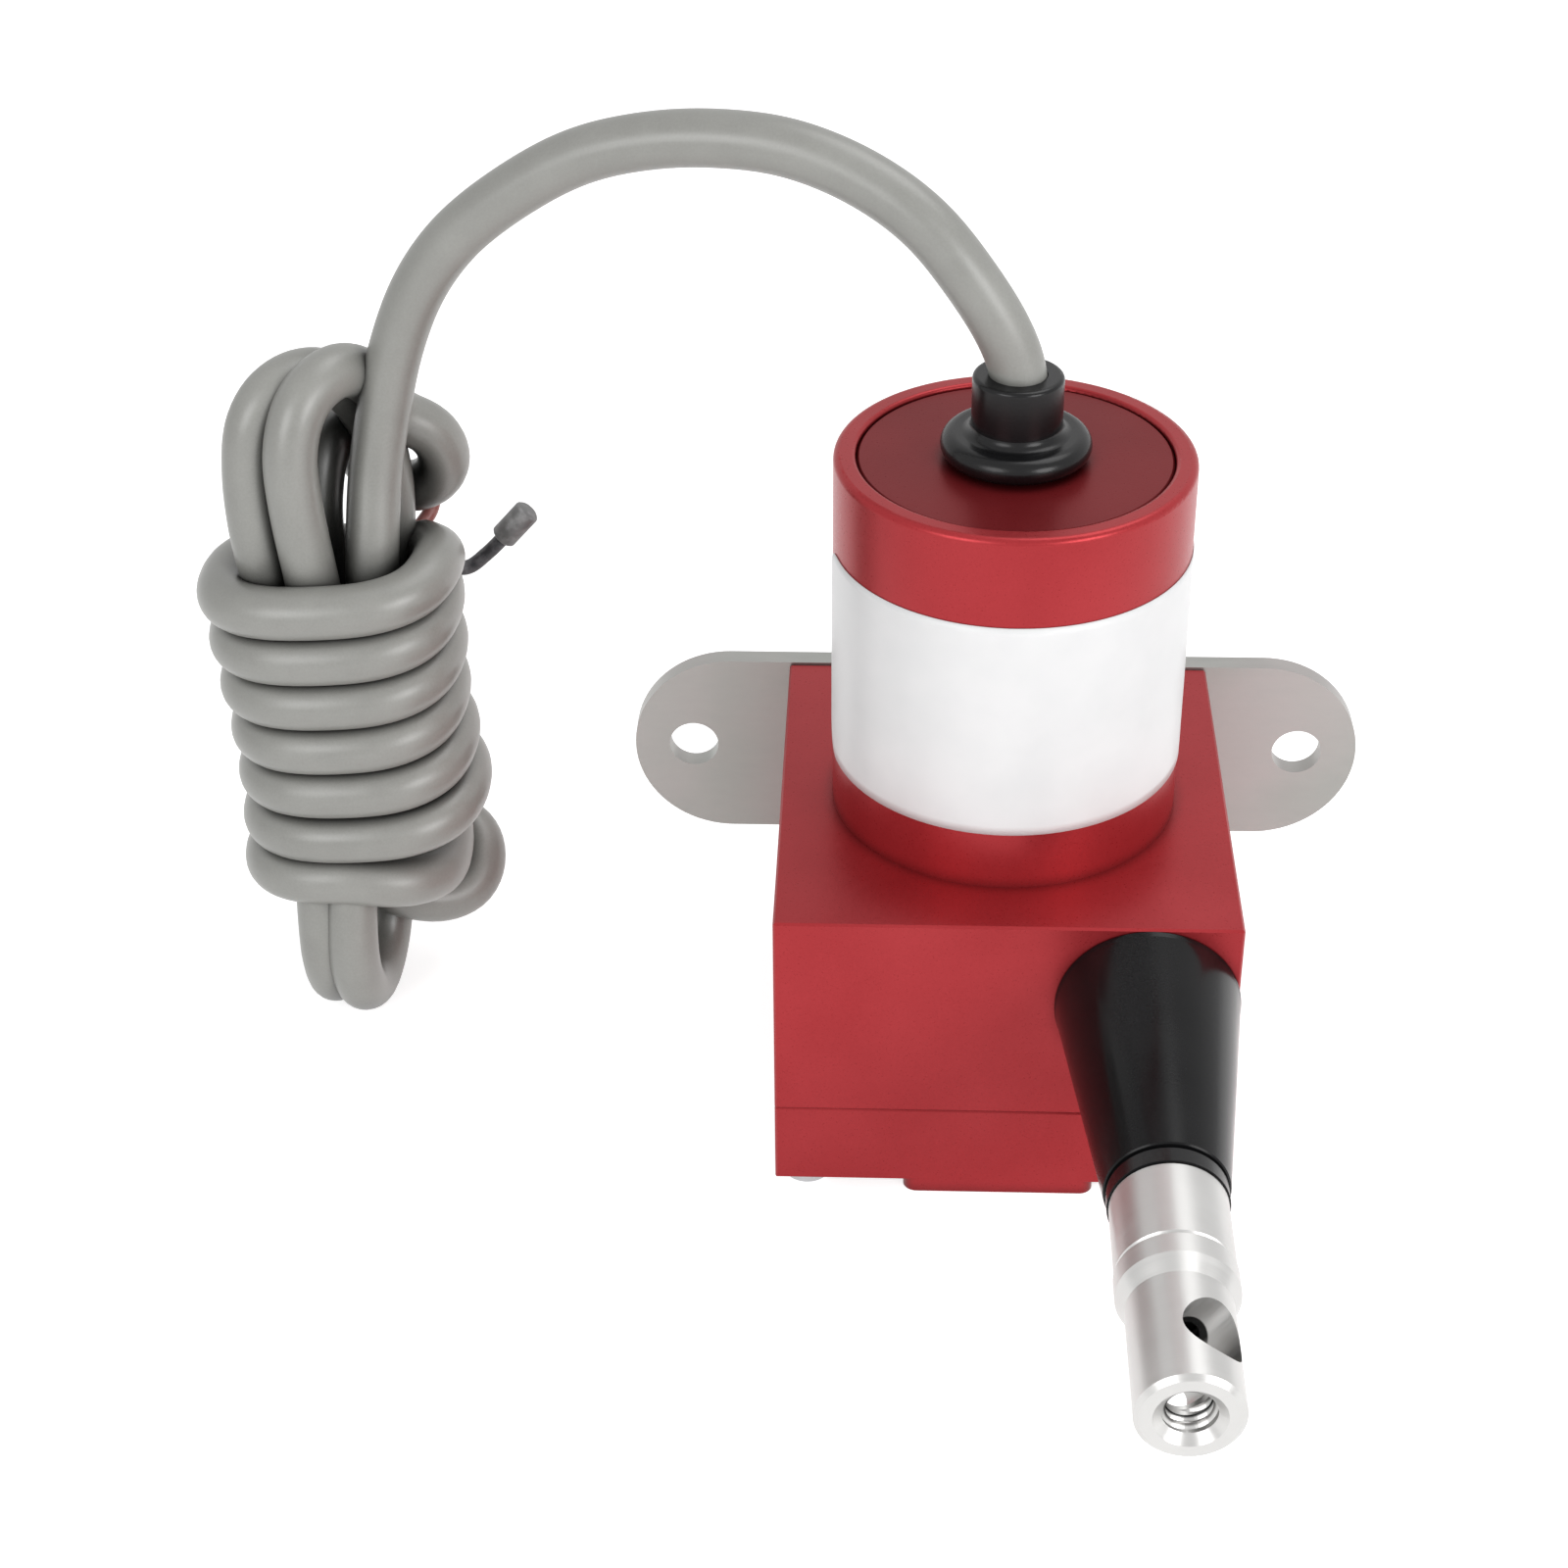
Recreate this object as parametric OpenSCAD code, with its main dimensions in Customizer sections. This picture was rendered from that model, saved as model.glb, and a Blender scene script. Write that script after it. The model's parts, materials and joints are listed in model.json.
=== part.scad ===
// Draw wire encoder: a spring-driven wire drum in a square block, with a multi-turn
// potentiometer in the round can on top, a rear mounting plate and a swivelling wire end.
// Millimetres, +Z up. The origin is the middle of the two mounting holes on the back face
// of the mounting plate. The wire leaves towards -Y.

/* [Housing] */
// Width of the housing, left to right
body_w = 40; // [39:0.5:50]
// Depth of the housing, front to back
body_d = 42.5; // [41.5:0.5:52]
// Height of the upper block, above the seam
body_h = 20.2; // [20:0.1:24]
// Height of the spring housing, below the seam
spring_h = 8; // [7.8:0.1:11]
// Height of the raised pad under the spring housing
pad_h = 1.3; // [1.2:0.1:2]
// Side of the square relief at each corner of the pad
relief_w = 11.5; // [9:0.5:13]
// Chamfer on the outer edges of the housing
edge_c = 0.2; // [0.1:0.1:0.8]
// Thickness of the roof over the drum
roof_t = 4.3; // [4.2:0.1:4.6]
// Diameter of the drum chamber
chamber_d = 32; // [30:0.5:33]

/* [Mounting plate] */
// Length of the mounting plate over its round ends
plate_l = 70.5; // [69:0.5:90]
// Height of the mounting plate
plate_h = 19; // [17:0.5:24]
// Thickness of the mounting plate
plate_t = 2; // [1.5:0.5:4]
// Distance from each end of the plate to the middle of its mounting hole
hole_inset = 5.75; // [5.25:0.25:8]
// Diameter of the mounting holes
hole_d = 4.8; // [4.2:0.1:6.4]
// Height of the housing's top above the mounting holes
top_rise = 9.3; // [9:0.1:11]

/* [Sensor can] */
// Outer diameter of the sensor can
can_d = 30.8; // [30.6:0.1:36]
// Height of the sensor can
can_h = 34; // [33.5:0.5:44]
// Thickness of the can's end cap
cap_t = 3; // [2:0.5:4]
// How far the cap lies below the can's rim
cap_drop = 0.3; // [0.2:0.1:0.8]
// Width of the can's rim round the cap
rim_w = 1.9; // [1.6:0.1:2.1]
// Height of the wrap-round label
label_h = 20.4; // [12:0.1:24]
// Height of the label's lower edge above the housing
label_z = 5.5; // [3:0.1:8]
// Angle of the can that the label covers
label_arc = 300; // [200:5:340]

/* [Cable] */
// Diameter of the cable's jacket
cable_d = 4.8; // [4:0.1:5.2]
// Diameter of the grommet's flange on the cap
grommet_flange_d = 12.8; // [11.5:0.1:14]
// Diameter of the grommet's sleeve round the cable
grommet_sleeve_d = 7.7; // [7.6:0.1:9]
// Height of the grommet above the cap
grommet_h = 7.6; // [6:0.1:10]
// Diameter of the two bare conductors
conductor_d = 1.4; // [1:0.1:1.8]

/* [Wire outlet] */
// Distance of the wire from the drum's axis
wire_x = 12.2; // [11.5:0.1:12.5]
// Depth of the wire below the housing's top
wire_drop = 8.1; // [8:0.1:8.4]
// Diameter of the pull wire
wire_d = 0.6; // [0.5:0.1:0.7]
// Diameter of the outlet cone at the housing
cone_base_d = 16; // [14:0.1:16]
// Diameter of the outlet cone at its tip
cone_tip_d = 10.2; // [10:0.1:11]
// Length of the outlet cone
cone_l = 24; // [18:0.1:30]

/* [Wire end] */
// Thickness of the rubber bumper behind the wire end
bumper_t = 1.8; // [1:0.1:3]
// Diameter of the bumper
bumper_d = 9.8; // [9.6:0.1:10]
// Diameter of the ferrule crimped on the wire
ferrule_d = 9.5; // [9:0.1:9.6]
// Length of the ferrule
ferrule_l = 8; // [6:0.1:12]
// Diameter of the swivel head's collar
collar_d = 9.7; // [9.6:0.1:10.4]
// Length of the swivel head's collar
collar_l = 2.2; // [1.5:0.1:3]
// Diameter of the swivel head
head_d = 8.4; // [8:0.1:9]
// Length of the swivel head, with its collar
head_l = 14.8; // [14.6:0.1:18]
// Diameter of the cross hole through the head
cross_d = 5.6; // [4:0.1:5.8]
// Distance from the head's end to the cross hole's centre
cross_end = 6; // [5:0.1:6.2]
// Angle of the cross hole's axis above horizontal
cross_angle = 54; // [30:1:90]
// Wall diameter of the tapped hole in the head's end
tap_d = 4.2; // [3.2:0.1:4.4]

/* [Mechanism] */
// Diameter of the drum shaft
shaft_d = 6; // [6:0.1:6.2]
// Outer diameter of the two ball bearings
bearing_od = 13; // [12.8:0.1:13.2]
// Width of each bearing
bearing_w = 3.5; // [3.3:0.1:3.5]
// Balls in each bearing
ball_count = 7; // [5:1:8]
// Turns of wire left on the drum when the wire is in
wire_turns = 7; // [5:1:7]
// Diameter of the potentiometer
pot_d = 22.2; // [20:0.1:22.6]
// Width of the power spring's strip
strip_w = 4; // [3:0.1:4.2]
// Thickness of the power spring's strip
strip_t = 0.25; // [0.15:0.05:0.35]
// Turns of the power spring
spring_turns = 7; // [5:1:9]

/* [Hidden] */
$fn = 96;
eps = 0.01;
fit = 0.05;
over = 1;

// Levels of the housing
top_z = top_rise;
seam_z = top_z - body_h;
ledge_z = seam_z - spring_h;
base_z = ledge_z - pad_h;
front_y = -plate_t - body_d;
axis_y = -plate_t - body_d / 2;
ceiling_z = top_z - roof_t;
wire_z = top_z - wire_drop;
pad_corner_r = 1.2;
hole_pitch = plate_l - 2 * hole_inset;

// Bearing plate, its hub and the two bearings
recess_r = 17;
bearing_plate_t = 3;
plate_floor_z = seam_z - bearing_plate_t;
seat_floor_t = 0.5;
hub_r = bearing_od / 2 + 2;
lower_bearing_z = plate_floor_z + seat_floor_t;
upper_bearing_z = ceiling_z + seat_floor_t;
hub_top_z = lower_bearing_z + bearing_w;
bore_r = shaft_d / 2;
ball_r = 0.99;
pitch_r = (bore_r + bearing_od / 2) / 2;
race_r = ball_r + 0.04;
inner_land_r = pitch_r - 0.85;
outer_land_r = pitch_r + 0.85;
cage_half_w = 0.35;
cage_z = bearing_w / 2 + 0.2;
cage_t = 1.25;

// Power spring, in the pocket below the bearing plate
pocket_floor_t = 1.5;
pocket_z = base_z + pocket_floor_t;
pocket_r = 15.6;
arbor_r = 5;
seat_hole_r = arbor_r + 0.3;
spring_in_r = arbor_r + 0.4;
spring_out_r = pocket_r - 0.4;
strip_z = (pocket_z + plate_floor_z - strip_w) / 2;
slot_w = strip_t + 0.3;
tab_l = 1;
strip_steps = 20;

// Drum, carried by the shaft between the bearings
winding_pitch = wire_d + 0.15;
groove_top_z = wire_z + wire_d / 2 + 0.1;
groove_base_z = wire_z - (wire_turns - 0.5) * winding_pitch;
root_r = wire_x - wire_d / 2;
flange_r = wire_x + 1.6;
flange_t = 1;
hub_gap = 0.4;
drum_hub_r = 7;
land_r = inner_land_r - 0.1;
set_screw_r = 1.25;
drum_screw_z = (hub_top_z + hub_gap + groove_base_z - flange_t) / 2;

// Can, cap and what stands inside the can
can_r = can_d / 2;
can_top_z = top_z + can_h;
cap_r = can_r - rim_w;
cap_top_z = can_top_z - cap_drop;
cap_z = cap_top_z - cap_t;
can_bore_r = cap_r - 0.6;
rim_edge_r = 0.6;
rim_lip_r = 0.35;
spigot_t = 1;
spigot_h = 2;
seal_r = 0.4;
can_seal_r = can_bore_r + spigot_t + seal_r + 0.2;
housing_seal_r = recess_r + 1;
bracket_t = 2;
leg_r = 2;
leg_ring_r = can_bore_r - leg_r - 0.4;
leg_count = 3;
stud_r = 1;
stud_depth = 3.5;
bushing_r = 4.75;
nut_r = 6.4;
nut_h = 2;
coupling_z = top_z + 0.6;
coupling_h = 7.6;
coupling_r = 5.5;
coupling_gap = 0.5;
bushing_z = coupling_z + coupling_h + coupling_gap;
bracket_z = bushing_z + nut_h + 0.3;
pot_z = bracket_z + bracket_t;
pot_gap = 3.7;
pot_h = cap_z - pot_gap - pot_z;
pot_bore_l = 3;
shaft_joint_z = coupling_z + coupling_h / 2;
terminal_ring_r = 8;
terminal_r = 0.5;
terminal_h = 1.6;
terminal_count = 3;
lead_r = 0.4;
lead_ring_r = 1;

// Grommet
grommet_hole_r = grommet_sleeve_d / 2 + 0.1;
grommet_bore_r = cable_d / 2 + fit;
grommet_top_z = cap_top_z + grommet_h;
grommet_flange_h = 2.4;
grommet_inner_h = 1.5;
grommet_edge_r = 1.15;
grommet_fillet_r = 0.9;
grommet_top_r = 0.4;

// Screws
cover_screw_r = 1.25;
cover_screw_inset = 2.8;
cover_screw_l = spring_h + 7;
pan_head_r = 2.2;
pan_head_h = 1.25;
pan_edge_r = 0.4;
plate_screw_r = 1.5;
plate_screw_x = 12;
plate_screw_z = 5;
plate_screw_l = 8;

// Outlet
cone_spigot_r = 5;
cone_spigot_l = 5;
cone_bore_r = 1.5;
bush_r = 3;
bush_l = 2.5;
bush_hole_r = wire_d / 2 + 0.2;
wiper_r = 3;
wiper_t = 2;
tip_y = front_y - cone_l;

// Wire end, laid out from the cone's tip
bumper_y = tip_y - fit;
ferrule_y = bumper_y - bumper_t;
head_y = ferrule_y - ferrule_l - fit;
end_y = head_y - head_l;
spigot_r = 2.5;
spigot_l = 3.4;
ring_t = 0.6;
ring_r = 3.1;
ring_seat_r = 1.8;
collar_taper = 1.5;
tap_l = cross_end + cross_d / 2 + 1.6;
drill_r = tap_d / 2 - 0.8;

// Cable: the free stretch, from inside the grommet over to the hank that stands on the same surface
CABLE_ROUTE = [[0, -23.25, 38.5], [0, -23.25, 45], [0, -23.25, 50.5], [-1.2, -23.2, 54],
               [-4, -22.7, 58.5], [-8, -21.2, 63], [-13, -19.3, 66], [-19, -17.4, 67.8],
               [-25, -15.8, 68], [-31, -14.4, 67.2], [-37, -13.2, 65.3], [-42.8, -12.3, 61.8],
               [-48, -11.6, 57.4], [-51.6, -11.2, 52.4], [-54, -11.5, 46.6], [-55.4, -12.2, 41]];
WRAPS_X = [-73.2, -48.4];
WRAPS_Y = [-25, -4];
WRAPS_Z = [-9, 29.4];
FOLDS_X = [-69.5, -52.8];
FOLDS_Y = [-21.2, -4.6];
FOLDS_TOP_Z = 48.4;
SIDE_LOOP_X = [-61, -48.9];
SIDE_LOOP_Y = [-9, -0.8];
SIDE_LOOP_Z = [26.5, 40.2];
LOWER_FOLDS_X = [-66.6, -55.4];
LOWER_FOLDS_Y = [-24.4, -7];
CURL_X = [-60, -47.8];
CURL_Y = [-16, -3];
CURL_Z = [-14, -2];
RED_ROUTE = [[-57, -6.4, 21], [-54.8, -3.6, 22], [-53.3, -2.1, 24.6], [-53, -1.8, 28.5]];
DARK_ROUTE = [[-54.5, -5.4, 15.5], [-51.4, -2.9, 17.6], [-48.6, -2.7, 21.5], [-44.6, -2.8, 26]];
tube_sides = 10;
wire_sides = 8;

// A closed outline with four chamfered corners
function chamfered(w, h, c_low, c_high) =
  [[-w / 2 + c_low, 0], [w / 2 - c_low, 0], [w / 2, c_low], [w / 2, h - c_high],
   [w / 2 - c_high, h], [-w / 2 + c_high, h], [-w / 2, h - c_high], [-w / 2, c_low]];

// A point on the smooth curve through four points, at t between the middle two
function smooth(p, q, r, s, t) =
  0.5 * (2 * q + (r - p) * t + (2 * p - 5 * q + 4 * r - s) * t * t
         + (3 * q - p - 3 * r + s) * t * t * t);

// The points of a smooth curve along a route, with n steps between its own points
function curve(route, n) =
  let (last = len(route) - 1)
  concat([for (i = [0 : last - 1], k = [0 : n - 1])
            smooth(route[max(i - 1, 0)], route[i], route[i + 1],
                   route[min(i + 2, last)], k / n)],
         [route[last]]);

function unit(v) = v / norm(v);

// The direction of a line of points at its point i
function heading(points, i) =
  unit(points[min(i + 1, len(points) - 1)] - points[max(i - 1, 0)]);

// The ring of a tube round its line at point i; across is a direction the line never takes
function tube_ring(points, i, r, sides, across) =
  let (ahead = heading(points, i),
       side = unit(cross(ahead, across)),
       up = cross(side, ahead))
  [for (k = [0 : sides - 1])
     points[i] + r * (cos(360 * k / sides) * side + sin(360 * k / sides) * up)];

// A tube along a line of points
module swept_tube(points, r, sides, across) {
  count = len(points);
  rings = [for (i = [0 : count - 1]) each tube_ring(points, i, r, sides, across)];
  walls = [for (i = [0 : count - 2], k = [0 : sides - 1])
             let (a = i * sides + k, b = i * sides + (k + 1) % sides)
             [a, a + sides, b + sides, b]];
  start = [for (k = [0 : sides - 1]) k];
  end = [for (k = [sides - 1 : -1 : 0]) (count - 1) * sides + k];
  polyhedron(points = rings, faces = concat([start], walls, [end]));
}

// Puts its children on the drum's axis
module on_axis() {
  translate([0, axis_y, 0]) children();
}

// Puts its children, drawn along +Z, on the wire's line, leaving from y towards the front
module along_wire(y) {
  translate([wire_x, y, wire_z]) rotate([90, 0, 0]) children();
}

// A disc or ring at a height on the drum's axis
module ring_at(z, h, outer, inner) {
  translate([0, 0, z]) difference() {
    cylinder(r = outer, h = h);
    translate([0, 0, -eps]) cylinder(r = inner, h = h + 2 * eps);
  }
}

// A round-section ring
module torus(ring_radius, section_radius) {
  rotate_extrude() translate([ring_radius, 0]) circle(r = section_radius, $fn = 32);
}

// A rectangle with round corners, about the drum's axis
module round_rect(w, d, r) {
  square([w - 2 * r, d], center = true);
  square([w, d - 2 * r], center = true);
  for (x = [-1, 1], y = [-1, 1])
    translate([x * (w / 2 - r), y * (d / 2 - r)]) circle(r = r);
}

// A block with chamfered edges, standing on z = 0
module chamfered_block(w, d, h, c_low, c_high) {
  intersection() {
    rotate([90, 0, 0]) linear_extrude(height = d + 2, center = true)
      polygon(chamfered(w, h, c_low, c_high));
    rotate([90, 0, 90]) linear_extrude(height = w + 2, center = true)
      polygon(chamfered(d, h, c_low, c_high));
    linear_extrude(height = h) translate([0, -d / 2]) polygon(chamfered(w, d, edge_c, edge_c));
  }
}

// Places its children at the four cover screws
module at_cover_screws() {
  for (x = [-1, 1], y = [-1, 1])
    translate([x * (body_w / 2 - cover_screw_inset),
               axis_y + y * (body_d / 2 - cover_screw_inset), 0]) children();
}

// Places its children at the four plate screws, pointing to the front
module at_plate_screws() {
  for (x = [-1, 1], z = [-1, 1])
    translate([x * plate_screw_x, 0, z * plate_screw_z]) rotate([90, 0, 0]) children();
}

// Places its children round the drum's axis
module around(count, radius) {
  for (i = [0 : count - 1])
    rotate(90 + 360 * i / count) translate([radius, 0, 0]) children();
}

module main_body() {
  color([0.66, 0.12, 0.15]) difference() {
    on_axis() translate([0, 0, seam_z])
      chamfered_block(body_w, body_d, body_h, 0.15, edge_c);
    on_axis() {
      translate([0, 0, seam_z - eps]) cylinder(d = chamber_d, h = ceiling_z - seam_z + eps);
      translate([0, 0, ceiling_z - eps]) cylinder(r = seat_hole_r, h = roof_t + 1);
      translate([0, 0, upper_bearing_z]) cylinder(d = bearing_od, h = roof_t + 1);
      ring_at(top_z - spigot_h, spigot_h + eps, can_bore_r + spigot_t, can_bore_r);
      translate([0, 0, top_z]) torus(can_seal_r, seal_r);
      around(leg_count, leg_ring_r) translate([0, 0, top_z - stud_depth])
        cylinder(r = stud_r, h = stud_depth + 1);
    }
    at_cover_screws() translate([0, 0, seam_z - eps])
      cylinder(r = cover_screw_r, h = cover_screw_l - spring_h + 1);
    at_plate_screws() translate([0, 0, plate_t])
      cylinder(r = plate_screw_r, h = plate_screw_l);
    along_wire(front_y + cone_spigot_l) cylinder(r = cone_spigot_r, h = cone_spigot_l + 1);
    along_wire(axis_y) cylinder(r = bush_r, h = body_d / 2);
  }
}

module spring_housing() {
  color([0.63, 0.11, 0.14]) difference() {
    union() {
      on_axis() translate([0, 0, ledge_z])
        chamfered_block(body_w, body_d, spring_h, edge_c / 2, 0.15);
      on_axis() translate([0, 0, base_z]) linear_extrude(height = pad_h + 1) {
        round_rect(body_w - 2 * relief_w, body_d, pad_corner_r);
        round_rect(body_w, body_d - 2 * relief_w, pad_corner_r);
      }
    }
    on_axis() {
      translate([0, 0, plate_floor_z]) cylinder(r = recess_r, h = bearing_plate_t + 1);
      translate([0, 0, pocket_z]) cylinder(r = pocket_r, h = plate_floor_z - pocket_z + eps);
      translate([0, 0, seam_z]) torus(housing_seal_r, seal_r);
      translate([spring_out_r - 0.4, (strip_t - slot_w) / 2, pocket_z])
        cube([tab_l + 0.7, slot_w, plate_floor_z - pocket_z + eps]);
    }
    at_cover_screws() translate([0, 0, ledge_z - 1])
      cylinder(r = cover_screw_r + 0.15, h = spring_h + 2);
  }
}

module bearing_plate() {
  color([0.75, 0.76, 0.78]) on_axis() difference() {
    union() {
      translate([0, 0, plate_floor_z]) cylinder(r = recess_r, h = bearing_plate_t);
      translate([0, 0, plate_floor_z]) cylinder(r = hub_r, h = hub_top_z - plate_floor_z);
    }
    translate([0, 0, lower_bearing_z]) cylinder(d = bearing_od, h = bearing_w + 1);
    translate([0, 0, plate_floor_z - 1]) cylinder(r = seat_hole_r, h = 3);
  }
}

module mounting_plate() {
  color([0.78, 0.78, 0.76]) difference() {
    rotate([90, 0, 0]) linear_extrude(height = plate_t) {
      square([plate_l - plate_h, plate_h], center = true);
      for (x = [-1, 1]) translate([x * (plate_l - plate_h) / 2, 0]) circle(d = plate_h);
    }
    for (x = [-1, 1])
      translate([x * hole_pitch / 2, 1, 0]) rotate([90, 0, 0])
        cylinder(d = hole_d, h = plate_t + 2);
    at_plate_screws() {
      translate([0, 0, -1]) cylinder(r = plate_screw_r, h = plate_t + 2);
      cylinder(r1 = 2 * plate_screw_r, r2 = plate_screw_r, h = plate_screw_r);
    }
  }
}

module plate_screws() {
  color([0.7, 0.7, 0.72]) at_plate_screws() difference() {
    union() {
      cylinder(r1 = 2 * plate_screw_r, r2 = plate_screw_r, h = plate_screw_r);
      cylinder(r = plate_screw_r, h = plate_screw_l);
    }
    translate([0, 0, -eps]) cylinder(r = 1.15, h = 1.2, $fn = 6);
  }
}

module cover_screws() {
  color([0.75, 0.75, 0.77]) at_cover_screws() difference() {
    union() {
      translate([0, 0, ledge_z - eps]) cylinder(r = cover_screw_r, h = cover_screw_l);
      rotate_extrude() translate([0, ledge_z - pan_head_h]) {
        square([pan_head_r - pan_edge_r, pan_head_h]);
        translate([0, pan_edge_r]) square([pan_head_r, pan_head_h - pan_edge_r]);
        translate([pan_head_r - pan_edge_r, pan_edge_r]) circle(r = pan_edge_r, $fn = 32);
      }
    }
    for (a = [0, 90]) rotate(a) translate([-1.3, -0.25, ledge_z - pan_head_h - eps])
      cube([2.6, 0.5, 0.7]);
  }
}

module housing_seal() {
  color([0.1, 0.1, 0.1]) on_axis() translate([0, 0, seam_z]) intersection() {
    torus(housing_seal_r, seal_r);
    translate([0, 0, -1]) cylinder(r = body_w, h = 1);
  }
}

module sensor_can() {
  color([0.66, 0.12, 0.15]) on_axis() rotate_extrude() {
    translate([can_bore_r, top_z - spigot_h]) square([spigot_t, spigot_h + eps]);
    translate([can_bore_r, top_z]) square([can_r - can_bore_r, cap_z - top_z]);
    translate([cap_r, cap_z - eps]) square([rim_w, can_top_z - rim_edge_r - cap_z]);
    translate([cap_r, cap_z]) square([rim_w / 2, can_top_z - rim_lip_r - cap_z]);
    translate([cap_r + rim_lip_r, cap_z])
      square([rim_w - rim_lip_r - rim_edge_r, can_top_z - cap_z]);
    translate([cap_r + rim_lip_r, can_top_z - rim_lip_r]) circle(r = rim_lip_r, $fn = 48);
    translate([can_r - rim_edge_r, can_top_z - rim_edge_r]) circle(r = rim_edge_r, $fn = 48);
  }
}

module can_seal() {
  color([0.1, 0.1, 0.1]) on_axis() translate([0, 0, top_z]) intersection() {
    torus(can_seal_r, seal_r);
    translate([0, 0, -1]) cylinder(r = body_w, h = 1);
  }
}

module can_cap() {
  color([0.62, 0.11, 0.14]) on_axis() rotate_extrude() polygon([
    [grommet_hole_r, cap_z], [cap_r - fit, cap_z],
    [cap_r - fit, cap_top_z - 0.25], [cap_r - fit - 0.25, cap_top_z],
    [grommet_hole_r, cap_top_z]]);
}

module cable_grommet() {
  sleeve_r = grommet_sleeve_d / 2;
  flange = grommet_flange_d / 2;
  color([0.07, 0.07, 0.07]) on_axis() rotate_extrude() difference() {
    union() {
      translate([0, cap_z - grommet_inner_h]) square([flange - 0.8, grommet_inner_h]);
      translate([0, cap_z - eps]) square([grommet_hole_r - fit, cap_t + 2 * eps]);
      translate([0, cap_top_z]) square([sleeve_r, grommet_h - grommet_top_r]);
      translate([0, cap_top_z]) square([sleeve_r - grommet_top_r, grommet_h]);
      translate([sleeve_r - grommet_top_r, grommet_top_z - grommet_top_r])
        circle(r = grommet_top_r, $fn = 32);
      translate([flange - grommet_edge_r, cap_top_z + grommet_flange_h - grommet_edge_r])
        intersection() {
          circle(r = grommet_edge_r, $fn = 48);
          translate([-flange, grommet_edge_r - grommet_flange_h]) square(2 * flange);
        }
      translate([0, cap_top_z]) square([flange - grommet_edge_r, grommet_flange_h]);
      translate([sleeve_r - eps, cap_top_z + grommet_flange_h - eps]) difference() {
        square(grommet_fillet_r);
        translate([grommet_fillet_r, grommet_fillet_r]) circle(r = grommet_fillet_r, $fn = 48);
      }
    }
    translate([0, cap_z - grommet_inner_h - over]) square([grommet_bore_r, can_h]);
  }
}

module label() {
  start = 185;
  color([0.95, 0.95, 0.94]) on_axis() translate([0, 0, top_z + label_z])
    rotate(start) rotate_extrude(angle = label_arc)
      translate([can_r, 0]) square([0.1, label_h]);
}

module outlet_cone() {
  base = cone_base_d / 2;
  tip = cone_tip_d / 2;
  color([0.06, 0.06, 0.07]) along_wire(front_y) rotate_extrude() polygon([
    [cone_bore_r, -cone_spigot_l], [cone_spigot_r, -cone_spigot_l],
    [cone_spigot_r, 0], [base - 0.15, 0], [base, 0.15], [base - 0.1, 0.6],
    [tip, cone_l - 0.12], [tip - 0.12, cone_l], [wiper_r, cone_l],
    [wiper_r, cone_l - wiper_t], [cone_bore_r, cone_l - wiper_t]]);
}

module guide_bush() {
  y = front_y + cone_spigot_l;
  color([0.8, 0.66, 0.35]) along_wire(y + bush_l) rotate_extrude() polygon([
    [bush_hole_r + 0.4, 0], [bush_r - fit, 0], [bush_r - fit, bush_l],
    [bush_hole_r + 0.4, bush_l], [bush_hole_r, bush_l - 0.4], [bush_hole_r, 0.4]]);
}

module wire_wiper() {
  color([0.85, 0.83, 0.78]) along_wire(tip_y + wiper_t) difference() {
    cylinder(r = wiper_r - fit, h = wiper_t - 0.1);
    translate([0, 0, -1]) cylinder(r = bush_hole_r, h = wiper_t + 2);
  }
}

// A bearing ring's section, with its groove for the balls
module race(inner, outer) {
  rotate_extrude() difference() {
    translate([inner, 0]) square([outer - inner, bearing_w]);
    translate([pitch_r, bearing_w / 2]) circle(r = race_r, $fn = 48);
  }
}

// Places its children at both bearings
module at_bearings() {
  on_axis() for (z = [lower_bearing_z, upper_bearing_z]) translate([0, 0, z]) children();
}

module bearing_outer_rings() {
  color([0.8, 0.8, 0.82]) at_bearings() race(outer_land_r, bearing_od / 2);
}

module bearing_inner_rings() {
  color([0.8, 0.8, 0.82]) at_bearings() race(bore_r, inner_land_r);
}

module ball_sets() {
  color([0.9, 0.9, 0.92]) at_bearings() around(ball_count, pitch_r)
    translate([0, 0, bearing_w / 2]) sphere(r = ball_r, $fn = 32);
}

module ball_cages() {
  color([0.75, 0.6, 0.3]) at_bearings() difference() {
    ring_at(cage_z, cage_t, pitch_r + cage_half_w, pitch_r - cage_half_w);
    around(ball_count, pitch_r) translate([0, 0, bearing_w / 2]) sphere(r = ball_r + 0.04, $fn = 32);
  }
}

// The power spring's strip as a spiral, with a tab at each end
function spiral_point(turn, offset) =
  let (r = spring_in_r + strip_t / 2 + offset
           + (spring_out_r - spring_in_r - strip_t) * turn / spring_turns,
       a = 360 * turn)
  [r * cos(a), r * sin(a)];

module power_spring() {
  steps = strip_steps * spring_turns;
  inner = [for (i = [0 : steps]) spiral_point(i / strip_steps, -strip_t / 2)];
  outer = [for (i = [steps : -1 : 0]) spiral_point(i / strip_steps, strip_t / 2)];
  outer_tab = [[spring_out_r - strip_t, strip_t], [spring_out_r + tab_l, strip_t],
               [spring_out_r + tab_l, 0]];
  inner_tab = [[spring_in_r + strip_t, -strip_t], [arbor_r - tab_l, -strip_t],
               [arbor_r - tab_l, 0]];
  color([0.45, 0.48, 0.55]) on_axis() translate([0, 0, strip_z]) linear_extrude(height = strip_w)
    polygon(concat(inner, outer_tab, outer, inner_tab));
}

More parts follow.
